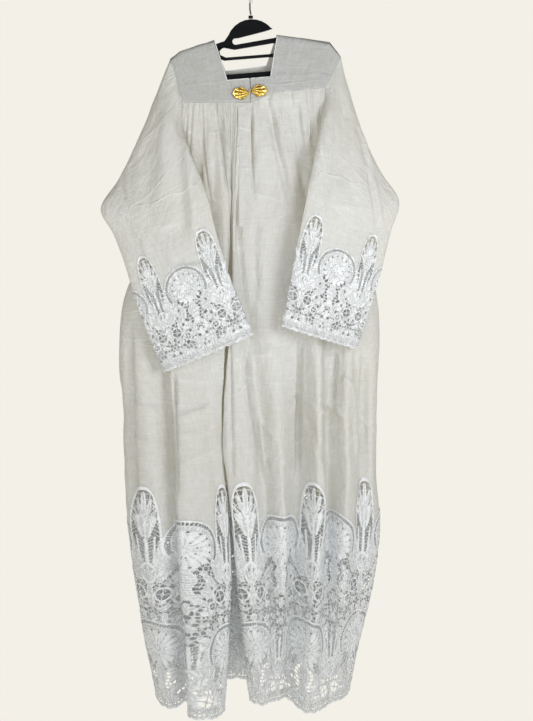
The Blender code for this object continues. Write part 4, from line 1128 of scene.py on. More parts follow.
def cloth_finish(settings, name, shade_tone=1.0, through=1.0):
    """Plain-woven linen: a fine weave, slubs both ways, mottling, crinkles, and ironed creases whose lines
    are bumped and lightened as painted highlight.
    """
    # A tone below 1 darkens these colours: painted shade, as for the yoke
    pale, dull = [[shade_tone * value for value in colour] for colour in (settings.linen, settings.linen_shade)]
    graph = Graph(name, {"Roughness": 0.86, "Specular IOR Level": 0.22, **SHEEN})
    flat, place = graph.cut(), graph.place()
    thread = graph.woven(flat, (2100.0, 42.0, 1.0), (36.0, 1900.0, 1.0))
    slub_up = graph.noise(flat, (520.0, 9.0, 1.0), 2.0, 0.55)
    slub_across = graph.noise(flat, (8.0, 460.0, 1.0), 2.0, 0.55)
    slubs = graph.band(slub_up, 0.50, 0.78) + graph.band(slub_across, 0.50, 0.78)
    mottle = graph.band(graph.woven(flat, (190.0, 34.0, 1.0), (30.0, 210.0, 1.0)), 0.40, 0.60)
    crinkle = graph.noise(graph.stretched(place, (1.0, 1.0, 0.55)), 55.0, 5.0, 0.62)
    cloud = graph.noise(place, 3.2, 3.0, 0.5)
    lines = graph.borders(graph.swirled(flat, 8.0, 2.0, (0.07, 0.05, 0.0)), (6.5, 12.0, 1.0))
    kept = graph.noise(flat, (7.0, 7.0, 1.0), 2.0, 0.5)
    crease_bump_and_highlight = graph.band(lines, 0.0, 0.040, 1.0, 0.0) * graph.band(kept, 0.42, 0.62)
    light = graph.band(thread + slubs * 0.10, 0.32, 0.74)
    colour = graph.blend(light, rgba(dull), rgba(pale))
    colour = graph.blend(graph.band(cloud, 0.35, 0.7), colour, graph.tinted(colour, YELLOWED))
    colour = graph.blend(mottle, graph.tinted(colour, GREYED), colour)
    # painted highlight: the colour is lightened along the ironed crease lines
    colour = graph.blend(crease_bump_and_highlight * 0.45, colour, rgba([min(1.0, 1.06 * value) for value in pale]))
    coarse = graph.bump(crinkle + mottle * 0.10 + crease_bump_and_highlight * 0.22, 0.0060, 0.80)
    normal = graph.bump(thread + slubs * 0.35, 0.00045, 0.5, coarse)
    graph.fill(graph.shader, {"Base Color": colour, "Normal": normal,
                              "Roughness": graph.band(light, 0.0, 1.0, 0.92, 0.80)})
    graph.through(rgba(settings.linen_glow), through * settings.linen_through, normal)
    return graph.material


def doubled_shaded_finish(settings, name):
    """Linen laid double, as in the yoke: less light comes through, and it is coloured a little darker as
    painted shade for the weaker light that falls on the yoke.
    """
    return cloth_finish(settings, name, DOUBLED_SHADE_TONE, DOUBLED_THROUGH)


def lace_finish(settings, name):
    """Close satin stitch on bars and padded motifs, with painted shade: greyer where it sinks and in the
    grooves between its cords.
    """
    graph = Graph(name, {"Roughness": 0.78, "Specular IOR Level": 0.25, **SHEEN, "Sheen Weight": 0.10})
    flat, rise = graph.cut(), graph.rise()
    stitch = graph.woven(flat, (900.0, 2600.0, 1.0), (2600.0, 900.0, 1.0), 2.0, 0.5)
    cloud = graph.noise(graph.place(), 14.0, 3.0, 0.55)
    bent = graph.swirled(flat, 26.0, 1.0, (0.05, 0.05, 0.0))
    laid, crossed = graph.borders(bent, (150.0, 62.0, 1.0)), graph.borders(bent, (74.0, 128.0, 1.0))
    cords = graph.band(laid, 0.01, 0.20) * 0.55 + graph.band(crossed, 0.01, 0.22) * 0.45
    standing = graph.band(rise, 0.0009, 0.0014)
    # painted shade: low relief and the grooves between cords take the darker lace colour
    between = graph.maths("MAXIMUM", graph.band(cords, 0.20, 0.80, 0.52, 1.0), standing)
    raised_not_shaded = graph.band(rise + (stitch - 0.5) * 0.0006, -0.0004, 0.0010) * between
    colour = graph.blend(raised_not_shaded, rgba(settings.lace_painted_shade), rgba(settings.lace))
    colour = graph.blend(graph.band(cloud, 0.4, 0.75, 0.0, 0.5), colour, graph.tinted(colour, BLUED))
    normal = graph.bump(stitch, 0.0006, 0.55, graph.bump(cords, 0.0020, 0.8))
    graph.fill(graph.shader, {"Base Color": colour, "Normal": normal,
                              "Roughness": graph.band(raised_not_shaded, 0.0, 1.0, 0.90, 0.70)})
    graph.through(rgba(settings.lace), settings.lace_through, normal)
    return graph.material


def thread_finish(settings, name):
    """Sewing thread in the linen's colours."""
    graph = Graph(name, {"Roughness": 0.7, "Specular IOR Level": 0.3})
    twist = graph.noise(graph.place(), 1500.0, 2.0, 0.5)
    colour = graph.blend(twist, rgba(settings.linen_shade), rgba(settings.linen))
    graph.fill(graph.shader, {"Base Color": colour, "Normal": graph.bump(twist, 0.0002, 0.5)})
    return graph.material


def gilt_finish(settings, name):
    """Cast, polished and plated: glossier on the ribs and duller in the hollows, whose colour is darkened
    as painted shade.
    """
    graph = Graph(name, {"Metallic": 1.0, "Coat Weight": 0.25, "Coat Roughness": 0.12})
    worn = graph.noise(graph.place(), 420.0, 4.0, 0.6)
    polish_and_shade = graph.band(graph.rise() + (worn - 0.5) * 0.4, 0.1, 0.7)
    # painted shade: the hollows take the darker gilt colour; the ribs' lower roughness is real polish
    colour = graph.blend(polish_and_shade, rgba(settings.gilt_painted_shade), rgba(settings.gilt))
    graph.fill(graph.shader, {"Base Color": colour, "Roughness": graph.band(polish_and_shade, 0.0, 1.0, 0.48, 0.20),
                              "Normal": graph.bump(worn, 0.0003, 0.35)})
    return graph.material


def plastic_finish(settings, name):
    """Moulded black plastic with a fine grain and handling marks."""
    graph = Graph(name, {"Specular IOR Level": 0.08})
    place = graph.place()
    grain = graph.noise(place, 1400.0, 3.0, 0.6)
    marks = graph.noise(place, (9.0, 40.0, 60.0), 5.0, 0.65)
    colour = graph.blend(graph.band(marks, 0.45, 0.8), rgba(settings.plastic), rgba(settings.plastic_worn))
    graph.fill(graph.shader, {"Base Color": colour, "Roughness": graph.band(marks, 0.3, 0.75, 0.46, 0.62),
                              "Normal": graph.bump(grain, 0.00012, 0.5)})
    return graph.material


def steel_finish(settings, name):
    """Plated wire, drawn lengthwise, with a few dull spots."""
    graph = Graph(name, {"Metallic": 1.0})
    place = graph.place()
    drawn = graph.noise(place, (2400.0, 300.0, 300.0), 3.0, 0.6)
    spots = graph.noise(place, 230.0, 3.0, 0.6)
    colour = graph.blend(graph.band(spots, 0.5, 0.75), rgba(settings.steel), rgba(settings.steel_dull))
    graph.fill(graph.shader, {"Base Color": colour, "Roughness": graph.band(spots, 0.4, 0.75, 0.22, 0.42),
                              "Normal": graph.bump(drawn, 0.0001, 0.4)})
    return graph.material


SLOTS = {"linen": "linen", "doubled linen": "linen", "lace": "lace"}
MAKERS = {"linen": cloth_finish, "doubled linen": doubled_shaded_finish, "lace": lace_finish,
          "thread": thread_finish, "gilt": gilt_finish, "black plastic": plastic_finish,
          "steel": steel_finish}


def finish_of(context, kind):
    """The material of one kind, made when it is first asked for.

    The frame's own plain materials are called linen, lace, gilt and steel, so these need other names.
    """
    name = f"robe {kind}"
    found = bpy.data.materials.get(name)
    return found if found else MAKERS[kind](context.scene.alb_finish, name)


# ---------------------------------------------------------------- relief of the linen


def gathers(place, level, seed):
    """Gathers that the yoke seam holds, fine at the seam and merging lower down."""
    height = np.zeros_like(place)
    for count, size, fade, wander in GATHERS:
        drift = wander * ground(place * 1.3 + count, level * 7 + 3, seed)
        strength = 0.65 + 0.5 * ground(place * 2.1, level * 3 + count, seed + 1)
        ridge = np.abs(np.sin(math.pi * (place * count + drift))) - 0.5
        height += size * strength * ridge * np.exp(-(level / fade) ** 1.3)
    return height * MM * (0.25 + 0.75 * ease(0, 0.006, level))


def long_folds(place, level, seed):
    """Soft folds between the main ones, at no even spacing."""
    drift = 0.4 * ground(place * 0.9, level * 4, seed)
    wave = np.sin(2 * math.pi * (place * 1.35 + drift))
    wave = wave + 0.6 * np.sin(2 * math.pi * (place * 2.9 - 2 * drift))
    strength = 0.6 + 0.6 * ground(place * 1.2 + 9, level * 5, seed + 3)
    return 3.8 * MM * wave * strength * ease(0.04, 0.22, level) * (1 - 0.55 * ease(0.72, 1.0, level))


def crumple(across, down, seed):
    """Slight unevenness that washed and packed linen keeps, over flat metres."""
    height = 1.70 * ground(across / 0.055, down / 0.085, seed)
    height += 0.85 * ground(across / 0.024, down / 0.034, seed + 1)
    height += 0.30 * ground((across + 0.4 * down) / 0.012, down / 0.016, seed + 2)
    return height * MM


def body_relief(side, place, level, points, settings):
    """How far the body's cloth stands out from its form."""
    seed = 11 if side is FRONT else 31
    height = gathers(place, level, seed) + long_folds(place, level, seed + 5)
    height += crumple(place * REPEAT, level * (side.top(place) - HEM_Z), seed + 9)
    yoke_y = SEAM_GAP / 2 + SHOULDER_ROUND + YOKE_SPREAD
    height += (yoke_y - side.facing * points[:, 1]) * np.exp(-((level / 0.035) ** 2))
    if side is FRONT:
        x, width, rise = PLACKET_FOLD
        height += rise * np.exp(-(((points[:, 0] - x) / width) ** 2) - (level / 0.12) ** 2)
        height += creases(points, BODY_CREASES)
    else:
        height += 0.8 * creases(mirrored(points), BACK_CREASES)
    return height * settings.crease


def body_flat(place, level, side):
    """Where a place of the body lies in its flat cut."""
    middle = HEM_REPEATS / 2
    share = np.interp(level, *CUT_WIDTH)
    return np.stack(((place - middle) * REPEAT * share, (1 - level) * (side.top(place) - HEM_Z)), 1)


def facing_out(facing):
    return lambda points: np.array((0.0, facing, 0.0))


def hem_height(place, pattern_y):
    """Height above the hem, in mm, of a height in the lace's pattern."""
    middle = HEM_REPEATS / 2
    rise = 1000 * HEM_RISE * ((place - middle) / middle) ** 2
    full = 1000 * HEM_LACE_HEIGHT
    return pattern_y * (full - rise) / full


def hem_pattern(place, height):
    return height / hem_height(place, 1.0)


def outline_depth(x, y):
    """How far inside the lace's scalloped top edge a point of the pattern is."""
    x = np.abs((x % (2 * HALF)) - HALF)
    return np.where(y > LACE_JOIN, np.maximum(palmette_depth(x, y), arch_depth(x, y)), 9.0)


# ---------------------------------------------------------------- pieces

GATHER_SHARE = 0.12          # share of the body that a quarter of its rows lie in
SKIRT_SHARE = 0.80           # share of the way to the hem that linen could reach
HEM_REACH = 5.0              # how far lace is drawn below its edge, in mm
CUFF_REACH = 4.0
LACE_LIFT = {"hem": 0.0008, "cuff": 0.0007}   # how far lace lies above the linen
YOKE_GRID = (44, 60, 12)     # columns to a unit across, rows, and rows at the shoulder fold
YOKE_FOLD_SHARE = 0.1        # share of a yoke that those last rows lie in
YOKE_CUT = (0.105, 0.115)    # flat metres to a unit across, and down
NEAR_SLIT = (3.36, 4.2)      # places on the front that the slit lies between
BINDING = 0.0009             # radius of the bound neck edge
SLIT_END = 0.0012            # how near to the slit the binding stops


class ClothOperator:
    """What every operator of this add-on has in common."""

    bl_options = {"REGISTER", "UNDO"}

    def execute(self, context):
        self.build(context, context.scene.alb_cloth)
        return {"FINISHED"}


def cut_linen(settings, u, v, pattern):
    """Linen cut from a grid along the lace's top edge, whose height pattern gives at a place."""
    place, share = grid_points(u, v)
    keep = settings.lace_overlap - outline_depth(place * 1000 * REPEAT, pattern(place, share))
    flat, faces = cut_out(u, v, keep.reshape(len(u), len(v)))
    return flat[:, 0], flat[:, 1], faces


def cut_lace(lace, u, v, pattern, closer=0.0):
    """Lace cut from a grid of places and heights, with its relief; closer widens its bars, in mm."""
    place, height = grid_points(u, v)
    keep, _ = lace.read(place * 1000 * REPEAT, pattern(height))
    keep = np.where(keep > -4.0, keep + closer, keep)
    flat, faces = cut_out(u, v, keep.reshape(len(u), len(v)))
    place, height = flat[:, 0], flat[:, 1]
    return place, height, lace.read(place * 1000 * REPEAT, pattern(height))[1] * MM, faces


def make_skirt(context, settings, side, name, columns, rows):
    """Linen of the body, from the yoke seam to the lace."""
    u = np.linspace(0, HEM_REPEATS, columns)
    v = np.concatenate((np.linspace(0, GATHER_SHARE, rows // 4, endpoint=False),
                        np.linspace(GATHER_SHARE, SKIRT_SHARE, rows - rows // 4)))

    def pattern(place, level):
        return hem_pattern(place, (1 - level) * (1000 * (side.top(place) - HEM_Z)))

    place, level, faces = cut_linen(settings, u, v, pattern)
    points = side.points(place, level)
    relief = body_relief(side, place, level, points, settings)
    return hang_cloth(context, "linen", name, points, faces, body_flat(place, level, side), relief,
                      facing_out(side.facing))


def make_hem_lace(context, settings, lace, side, name, span, step, closer=0.0):
    """Lace of the hem over a span of repeats."""
    node = "hem_lace_front" if side is FRONT else name
    u = np.linspace(*span, round((span[1] - span[0]) * 1000 * REPEAT / step))
    v = np.arange(-HEM_REACH, 1000 * HEM_LACE_HEIGHT + step, step)
    place, pattern_y, rise, faces = cut_lace(lace, u, v, lambda height: height, closer)
    level = 1 - hem_height(place, pattern_y) * MM / (side.top(place) - HEM_Z)
    points = side.points(place, level)
    relief = body_relief(side, place, level, points, settings) + LACE_LIFT["hem"]
    flat = np.stack((place * REPEAT, pattern_y * MM), 1)
    return hang_cloth(context, "lace", name, points, faces, flat, relief + rise, facing_out(side.facing),
                      rise=rise, node=node)


def cuff_pattern(height):
    """Height in the lace's pattern of a height above the cuff's edge, both in mm."""
    return CUFF_BASE + height / CUFF_SCALE


def sleeve_relief(sleeve, place, height, points, settings):
    seed = 51 if sleeve.side == 0 else 71
    front = ease(-0.1, 0.1, CUFF_FOLD - place)
    drift = 0.5 * ground(place, height * 4, seed)
    soft = np.sin(2 * math.pi * (place * 0.85 + drift)) * ease(0.15, 0.40, height)
    ends = ease(0.0, 0.10, np.abs(place - CUFF_FOLD)) * ease(0.0, 0.10, place - CUFF_START)
    ends = ends * ease(0.0, 0.10, CUFF_END - place)
    marks = creases(points, SLEEVE_CREASES) * front
    marks = marks + 0.7 * creases(mirrored(points), SLEEVE_CREASES) * (1 - front)
    body = (2.4 * MM * soft + 1.4 * marks) * ends
    return (body + crumple(place * CUFF_REPEAT, height, seed + 2)) * settings.crease


def sleeve_outward(sleeve):
    """Directions away from the middle of a sleeve."""
    def outward(points):
        rows = np.array([row[:6] for row in sleeve.sections])
        z = (rows[:, 2] + rows[:, 5]) / 2
        order = np.argsort(z)
        middle = (rows[order, :2] + rows[order, 3:5]) / 2
        centre = [np.interp(points[:, 2], z[order], middle[:, k]) for k in (0, 1)]
        away = points - np.stack((*centre, points[:, 2]), 1)
        away[:, 1] *= 6
        return away
    return outward


def make_sleeve(context, settings, side, columns, rows):
    """Linen of a sleeve, from its armhole to the lace."""
    sleeve = SLEEVES[side]

    def pattern(place, share):
        return cuff_pattern(share * sleeve.total(place) * 1000)

    u, v = np.linspace(CUFF_START, CUFF_END, columns), np.linspace(0, 1, rows)
    place, share, faces = cut_linen(settings, u, v, pattern)
    height = share * sleeve.total(place)
    points = sleeve.points(place, height)
    flat = np.stack(((place - CUFF_FOLD) * np.interp(share, *SLEEVE_WIDTH) / 3, height), 1)
    relief = sleeve_relief(sleeve, place, height, points, settings) * ease(0, 0.02, 1 - share)
    return hang_cloth(context, "linen", f"sleeve_{side}", points, faces, flat, relief,
                      sleeve_outward(sleeve))


def make_cuff(context, settings, lace, side, face, span, step):
    """Lace of one half of a cuff."""
    sleeve = SLEEVES[side]
    u = np.linspace(*span, round((span[1] - span[0]) * 1000 * CUFF_REPEAT / step))
    v = np.arange(-CUFF_REACH, 1000 * CUFF_LACE_HEIGHT + step, step)
    place, height, rise, faces = cut_lace(lace, u, v, cuff_pattern)
    rise = rise * CUFF_SCALE
    points = sleeve.points(place, height * MM)
    points[:, 2] += np.minimum(height, 0) * MM
    relief = sleeve_relief(sleeve, place, height * MM, points, settings) + LACE_LIFT["cuff"]
    flat = np.stack((place * CUFF_REPEAT, height * MM), 1)
    return hang_cloth(context, "lace", f"cuff_lace_{side}_{face}", points, faces, flat, relief + rise,
                      sleeve_outward(sleeve), rise=rise)


def yoke_relief(across, down, facing, settings):
    """Double cloth in the lower band, puckers along the seams and faint crumpling."""
    band = 0.0007 * ease(0.595, 0.615, down) - 0.0013 * ease(0.955, 1.0, down)
    seam = np.abs(np.sin(math.pi * across * 12 + 3 * ground(across * 5, down, 3))) - 0.5
    pucker = 0.0009 * seam * np.exp(-((1 - down) / 0.13) ** 2)
    armhole = np.minimum(across, 3 - across)
    ridge = 0.0006 * np.exp(-((armhole - 0.055) / 0.02) ** 2)
    return (band + pucker + ridge + 0.8 * crumple(across * 0.1, down * 0.1, 91 + facing)) * settings.crease


def make_yoke(context, settings, name, span, facing):
    """A yoke piece between two places across, with the square neck left out."""
    depth = NECK_SHARE[facing]
    to_unit, rows, fold_rows = YOKE_GRID
    above = round(rows * depth)
    corners = [place for place in (1.0, 2.0) if span[0] < place < span[1]]
    u = np.linspace(*span, round(to_unit * (span[1] - span[0])) + 1)
    u = np.unique(np.concatenate((u, corners)))
    turn = 1 - np.cos(np.linspace(0, math.pi / 2, fold_rows, endpoint=False))
    v = np.concatenate((np.concatenate((turn, [1.0])) * YOKE_FOLD_SHARE,
                        np.linspace(YOKE_FOLD_SHARE, depth, above)[1:],
                        np.linspace(depth, 1, rows + 1 - above)[1:]))
    across, down = grid_points(u, v)

    def keep(i, j):
        middle = (u[i] + u[i + 1]) / 2
        return (middle < 1) | (middle > 2) | (v[j] >= depth - 1e-6)

    points = yoke_points(across, down, facing)
    flat = np.stack((across * YOKE_CUT[0], (1 - down) * YOKE_CUT[1]), 1)
    relief = yoke_relief(across, down, facing, settings)
    return hang_cloth(context, "doubled linen", name, points, grid_faces(len(u), len(v), keep), flat,
                      relief, facing_out(facing))


def front_point(x, z, out=0.0):
    """Points on the front's form at x and z near its slit, moved out."""
    places = np.linspace(*NEAR_SLIT, 120)
    points = []
    top = along(FRONT_SEAM, SLIT_X)
    for one_x, one_z in zip(x, z):
        level = np.full(len(places), np.clip((top - one_z) / (top - HEM_Z), 0, 1))
        row = FRONT.points(places, level)
        place = np.interp(one_x, row[:, 0], places)
        points.append((one_x, np.interp(place, places, row[:, 1]) - out, one_z))
    return np.array(points)


def make_placket(context, columns=15, rows=110):
    """The strip on the front slit, with its edges turned in and sunk a little along its stitches."""
    top = along(FRONT_SEAM, SLIT_X) - SEAM_GAP
    length = top - PLACKET_BOTTOM_Z
    across, down = grid_points(np.linspace(0, 1, columns), np.linspace(0, 1, rows))
    x = SLIT_X - PLACKET_WIDTH + PLACKET_WIDTH * across
    z = mix(top, PLACKET_BOTTOM_Z, down)
    edge = np.minimum(np.minimum(across, 1 - across) * PLACKET_WIDTH, (1 - down) * length)
    turned = 0.0012 * ease(0.0, 0.0014, edge)
    line = -0.0005 * np.exp(-((z - SLIT_BOTTOM_Z) / 0.0012) ** 2)
    inner = -0.0004 * np.exp(-((edge - 0.0045) / 0.0008) ** 2)
    relief = turned + line + inner + 0.6 * crumple(x, z, 81)
    flat = np.stack((across * PLACKET_WIDTH, (1 - down) * length), 1)
    return hang_cloth(context, "linen", "placket", front_point(x, z, 0.0016), grid_faces(columns, rows),
                      flat, relief, facing_out(-1))


def sewn(name, context, parts):
    """One object for a group of threads or cords on the linen."""
    return finish_piece(add_mesh(name, *join(parts)), finish_of(context, "thread"), "linen")


def sew(points, outward, settings):
    """A row of stitches along points."""
    return stitches_along(points, np.tile(outward, (len(points), 1)), settings.stitch_pitch,
                          settings.stitch_pitch * STITCH_SHARE, STITCH_RADIUS)


def neck_rim(facing):
    """Points along a yoke's square neck edge, from shoulder to shoulder."""
    depth = NECK_SHARE[facing]
    down = np.concatenate((np.linspace(0, depth, 40), np.full(60, depth), np.linspace(depth, 0, 40)))
    across = np.concatenate((np.full(40, 1.0), np.linspace(1, 2, 60), np.full(40, 2.0)))
    points = yoke_points(across, down, facing)
    points[:, 1] += facing * 0.0008
    return points


class ALB_OT_yoke(ClothOperator, bpy.types.Operator):
    """Build the yoke, its bound neck edge and the placket on the front slit"""
    bl_idname = "alb.yoke"
    bl_label = "Yoke"

    def build(self, context, settings):
        make_yoke(context, settings, "yoke_front_right", (0.0, SLIT_PLACE - SLIT_HALF), -1)
        make_yoke(context, settings, "yoke_front_left", (SLIT_PLACE + SLIT_HALF, 3.0), -1)
        make_yoke(context, settings, "yoke_back", (0.0, 3.0), 1)
        make_placket(context)
        front = neck_rim(-1)
        slit = np.argmax(np.abs(front[:, 0] - SLIT_X) <= SLIT_END)
        rims = (front[:slit], front[slit + 1:], neck_rim(1))
        sewn("neck_binding", context, [cord_along(rim, BINDING) for rim in rims])


class ALB_OT_body(ClothOperator, bpy.types.Operator):
    """Build the linen front and back of the body, gathered into the yoke"""
    bl_idname = "alb.body"
    bl_label = "Body"

    def build(self, context, settings):
        make_skirt(context, settings, FRONT, "skirt_front", 352, 234)
        make_skirt(context, settings, BACK, "skirt_back", 250, 150)


class ALB_OT_hem(ClothOperator, bpy.types.Operator):
    """Build the deep cutwork lace of the hem, in front and behind"""
    bl_idname = "alb.hem"
    bl_label = "Hem Lace"

    def build(self, context, settings):
        step = settings.lace_grid
        half = HEM_REPEATS / 2
        lace = Lace(settings.lace_bar, 0.0, SCALLOP_WIDTH, HEM_MESH)
        spans = {"hem_lace_front_right": (0.0, half), "hem_lace_front_left": (half, HEM_REPEATS)}
        for name, span in spans.items():
            make_hem_lace(context, settings, lace, FRONT, name, span, step)
        make_hem_lace(context, settings, lace, BACK, "hem_lace_back", (0.0, HEM_REPEATS),
                      BACK_COARSER * step, BACK_CLOSER)


class ALB_OT_sleeves(ClothOperator, bpy.types.Operator):
    """Build both sleeves and the cutwork lace of their cuffs"""
    bl_idname = "alb.sleeves"
    bl_label = "Sleeves"

    def build(self, context, settings):
        step = settings.cuff_grid
        lace = Lace(settings.cuff_bar, CUFF_BASE, SCALLOP_WIDTH, CUFF_MESH)
        for side in ("right", "left"):
            make_sleeve(context, settings, side, 150, 170)
            make_cuff(context, settings, lace, side, "front", (CUFF_START, CUFF_FOLD), step)
            make_cuff(context, settings, lace, side, "back", (CUFF_FOLD, CUFF_END), 1.4 * step)


STITCH_SHARE = 0.72          # length of a stitch, as a share of their pitch
STITCH_RADIUS = 0.00026
PLACKET_HEM = 0.004          # from the placket's edge to its stitches
# Where stitches run across the yoke, in front on both sides of the slit, and behind. They pull
# into its double cloth.
SEWN_SPANS = {-1: ((0.02, SLIT_PLACE - 0.03), (SLIT_PLACE + 0.03, 2.98)), 1: ((0.02, 2.98),)}


class ALB_OT_stitching(ClothOperator, bpy.types.Operator):
    """Sew the visible rows of stitches on the yoke, its seam and the placket"""
    bl_idname = "alb.stitching"
    bl_label = "Stitching"

    def build(self, context, settings):
        rows = []
        for facing, spans in SEWN_SPANS.items():
            for (start, end), down in itertools.product(spans, (NECK_SHARE[facing] + 0.03, 0.965)):
                across = np.linspace(start, end, 120)
                down = np.full(120, down)
                points = yoke_points(across, down, facing)
                relief = yoke_relief(across, down, facing, settings)
                points[:, 1] += facing * (relief + 0.0001)
                rows.append(sew(points, (0.0, -facing, 0.0), settings))
        sewn("stitching_yoke", context, rows)
        top = along(FRONT_SEAM, SLIT_X) - PLACKET_HEM
        bottom = PLACKET_BOTTOM_Z + PLACKET_HEM
        left, right = SLIT_X - PLACKET_WIDTH + PLACKET_HEM, SLIT_X - PLACKET_HEM
        ends = (((left, top), (left, bottom)), ((right, top), (right, bottom)),
                ((left, bottom), (right, bottom)), ((left, SLIT_BOTTOM_Z), (right, SLIT_BOTTOM_Z)))
        lines = []
        t = np.linspace(0, 1, 60)
        for start, end in ends:
            points = front_point(mix(start[0], end[0], t), mix(start[1], end[1], t), 0.0029)
            lines.append(sew(points, (0.0, -1.0, 0.0), settings))
        sewn("stitching_placket", context, lines)


# ---------------------------------------------------------------- settings


def size_setting(name, description, default, low, high, **more):
    return FloatProperty(name=name, description=description, default=default, min=low, max=high, **more)


def mm_setting(name, description, default, low, high):
    return size_setting(name, description + ", in millimetres", default, low, high)


def colour_setting(name, description, default):
    return FloatVectorProperty(name=name, description=description, default=default, subtype="COLOR",
                               size=3, min=0, max=1)


def light_setting(name, description, default, **more):
    return FloatProperty(name=name, description=description, default=default, min=0.0, **more)


class AlbClothSettings(bpy.types.PropertyGroup):
    """Sizes of the cloth, its lace and its sewing."""
    crease: FloatProperty(name="Creases", description="How strongly the cloth is creased and gathered",
                          default=1.0, min=0.0, soft_max=2.0)
    lace_bar: mm_setting("Lace bars", "Width of the hem lace's bars", 2.5, 1.0, 5.0)
    cuff_bar: mm_setting("Cuff bars", "Width of the cuff lace's bars, in its pattern", 3.2, 1.0, 6.0)
    lace_grid: mm_setting("Hem grid", "Spacing of the hem lace's points", 1.85, 1.2, 5.0)
    cuff_grid: mm_setting("Cuff grid", "Spacing of the cuff lace's points", 1.3, 0.8, 4.0)
    lace_overlap: mm_setting("Lace overlap", "How far linen reaches under lace", 2.6, 0.5, 8.0)
    stitch_pitch: size_setting("Stitch pitch", "One stitch to the next", 0.0027, 0.001, 0.01, unit="LENGTH")


class AlbFinishSettings(bpy.types.PropertyGroup):
    """Colours of the finishes, and how much light thin cloth lets through."""
    linen: colour_setting("Linen", "Bleached linen", (0.885, 0.915, 0.93))
    linen_shade: colour_setting("Linen shade", "Between its threads", (0.755, 0.775, 0.778))
    linen_glow: colour_setting("Linen glow", "Light that comes through linen", (0.88, 0.80, 0.61))
    linen_through: size_setting("Linen thinness", "Share of light that linen lets through", 0.26, 0.0, 1.0)
    lace: colour_setting("Lace", "White lace thread", (0.94, 0.968, 1.0))
    # painted shade for the lace's sunken parts
    lace_painted_shade: colour_setting("Lace shade", "Sunken parts of the lace", (0.47, 0.485, 0.48))
    lace_through: size_setting("Lace thinness", "Share of light that lace lets through", 0.08, 0.0, 1.0)
    gilt: colour_setting("Gilt", "Polished gilding", (0.80, 0.55, 0.12))
    # painted shade for the clasp's hollows
    gilt_painted_shade: colour_setting("Gilt shade", "Gilding in the hollows", (0.30, 0.17, 0.025))
    plastic: colour_setting("Plastic", "Black hanger plastic", (0.003, 0.004, 0.005))
    plastic_worn: colour_setting("Worn plastic", "Handled hanger plastic", (0.007, 0.009, 0.010))
    steel: colour_setting("Steel", "Bright hook wire", (0.42, 0.42, 0.41))
    steel_dull: colour_setting("Dull steel", "Dull spots on the wire", (0.24, 0.235, 0.225))


class AlbStageSettings(bpy.types.PropertyGroup):
    """Strength of the studio's lights."""
    key: light_setting("Key light", "Power of the key light", 13.2, unit="POWER")
    fill: light_setting("Fill light", "Power of the fill light", 7.6, unit="POWER")
    back: light_setting("Back light", "Power of the light behind", 14.0, unit="POWER")
    world: light_setting("Room light", "Strength of the light from all round", 0.22)


# ---------------------------------------------------------------- clasp, hook and hanger

CLASP_LENGTH = 0.0185        # from the middle of a half to its tip
CLASP_HEIGHT = 0.0140
CLASP_RISE = 0.0050
CLASP_LOBES = 7
CLASP_HALVES = {"clasp_right": ((-0.0250, -0.0222, -0.2180), -1),
                "clasp_left": ((0.0160, -0.0222, -0.2120), 1)}
CLASP_LINK = ((-0.0074, -0.0246, -0.2160), (-0.0062, -0.0262, -0.2156), (-0.0050, -0.0270, -0.2152),
              (-0.0040, -0.0270, -0.2149), (-0.0026, -0.0262, -0.2145), (-0.0014, -0.0246, -0.2140))
FAN_FOOT = 1.12              # where its ribs spring from, in half lengths inwards of its middle
LINK_WIRE = 0.0011
EYE_WIRE = 0.0008
EYE_RADIUS = 0.0024
EYE_PLACE = (CLASP_LENGTH - 0.0012, -0.0020, 0.0003)   # from the middle of a half, inwards
HOOK_WIRE = 0.0018
HOOK_BEND = 0.0243           # radius of the wire's middle line
HOOK_CENTRE_Z = -0.0225
HOOK_FOOT_Z = -0.0515


def weld(obj):
    """Join the points of a piece that lie together."""
    obj.modifiers.new("weld", "WELD").merge_threshold = 0.00002


def round_edges(obj, width, degrees):
    """Round those edges of a piece that turn by more than some degrees."""
    bevel = obj.modifiers.new("rounded edges", "BEVEL")
    bevel.width = width
    bevel.segments = 3
    bevel.limit_method = "ANGLE"
    bevel.angle_limit = math.radians(degrees)
    return bevel


def fan_angle(along_half, up):
    """Angle of a place on a half clasp, seen from the point that its ribs spring from."""
    return np.arctan2(up, along_half + FAN_FOOT)


def ribs(angle):
    return np.abs(np.cos(math.pi * CLASP_LOBES * angle / (2 * fan_angle(0.0, 1.0)) / 2))


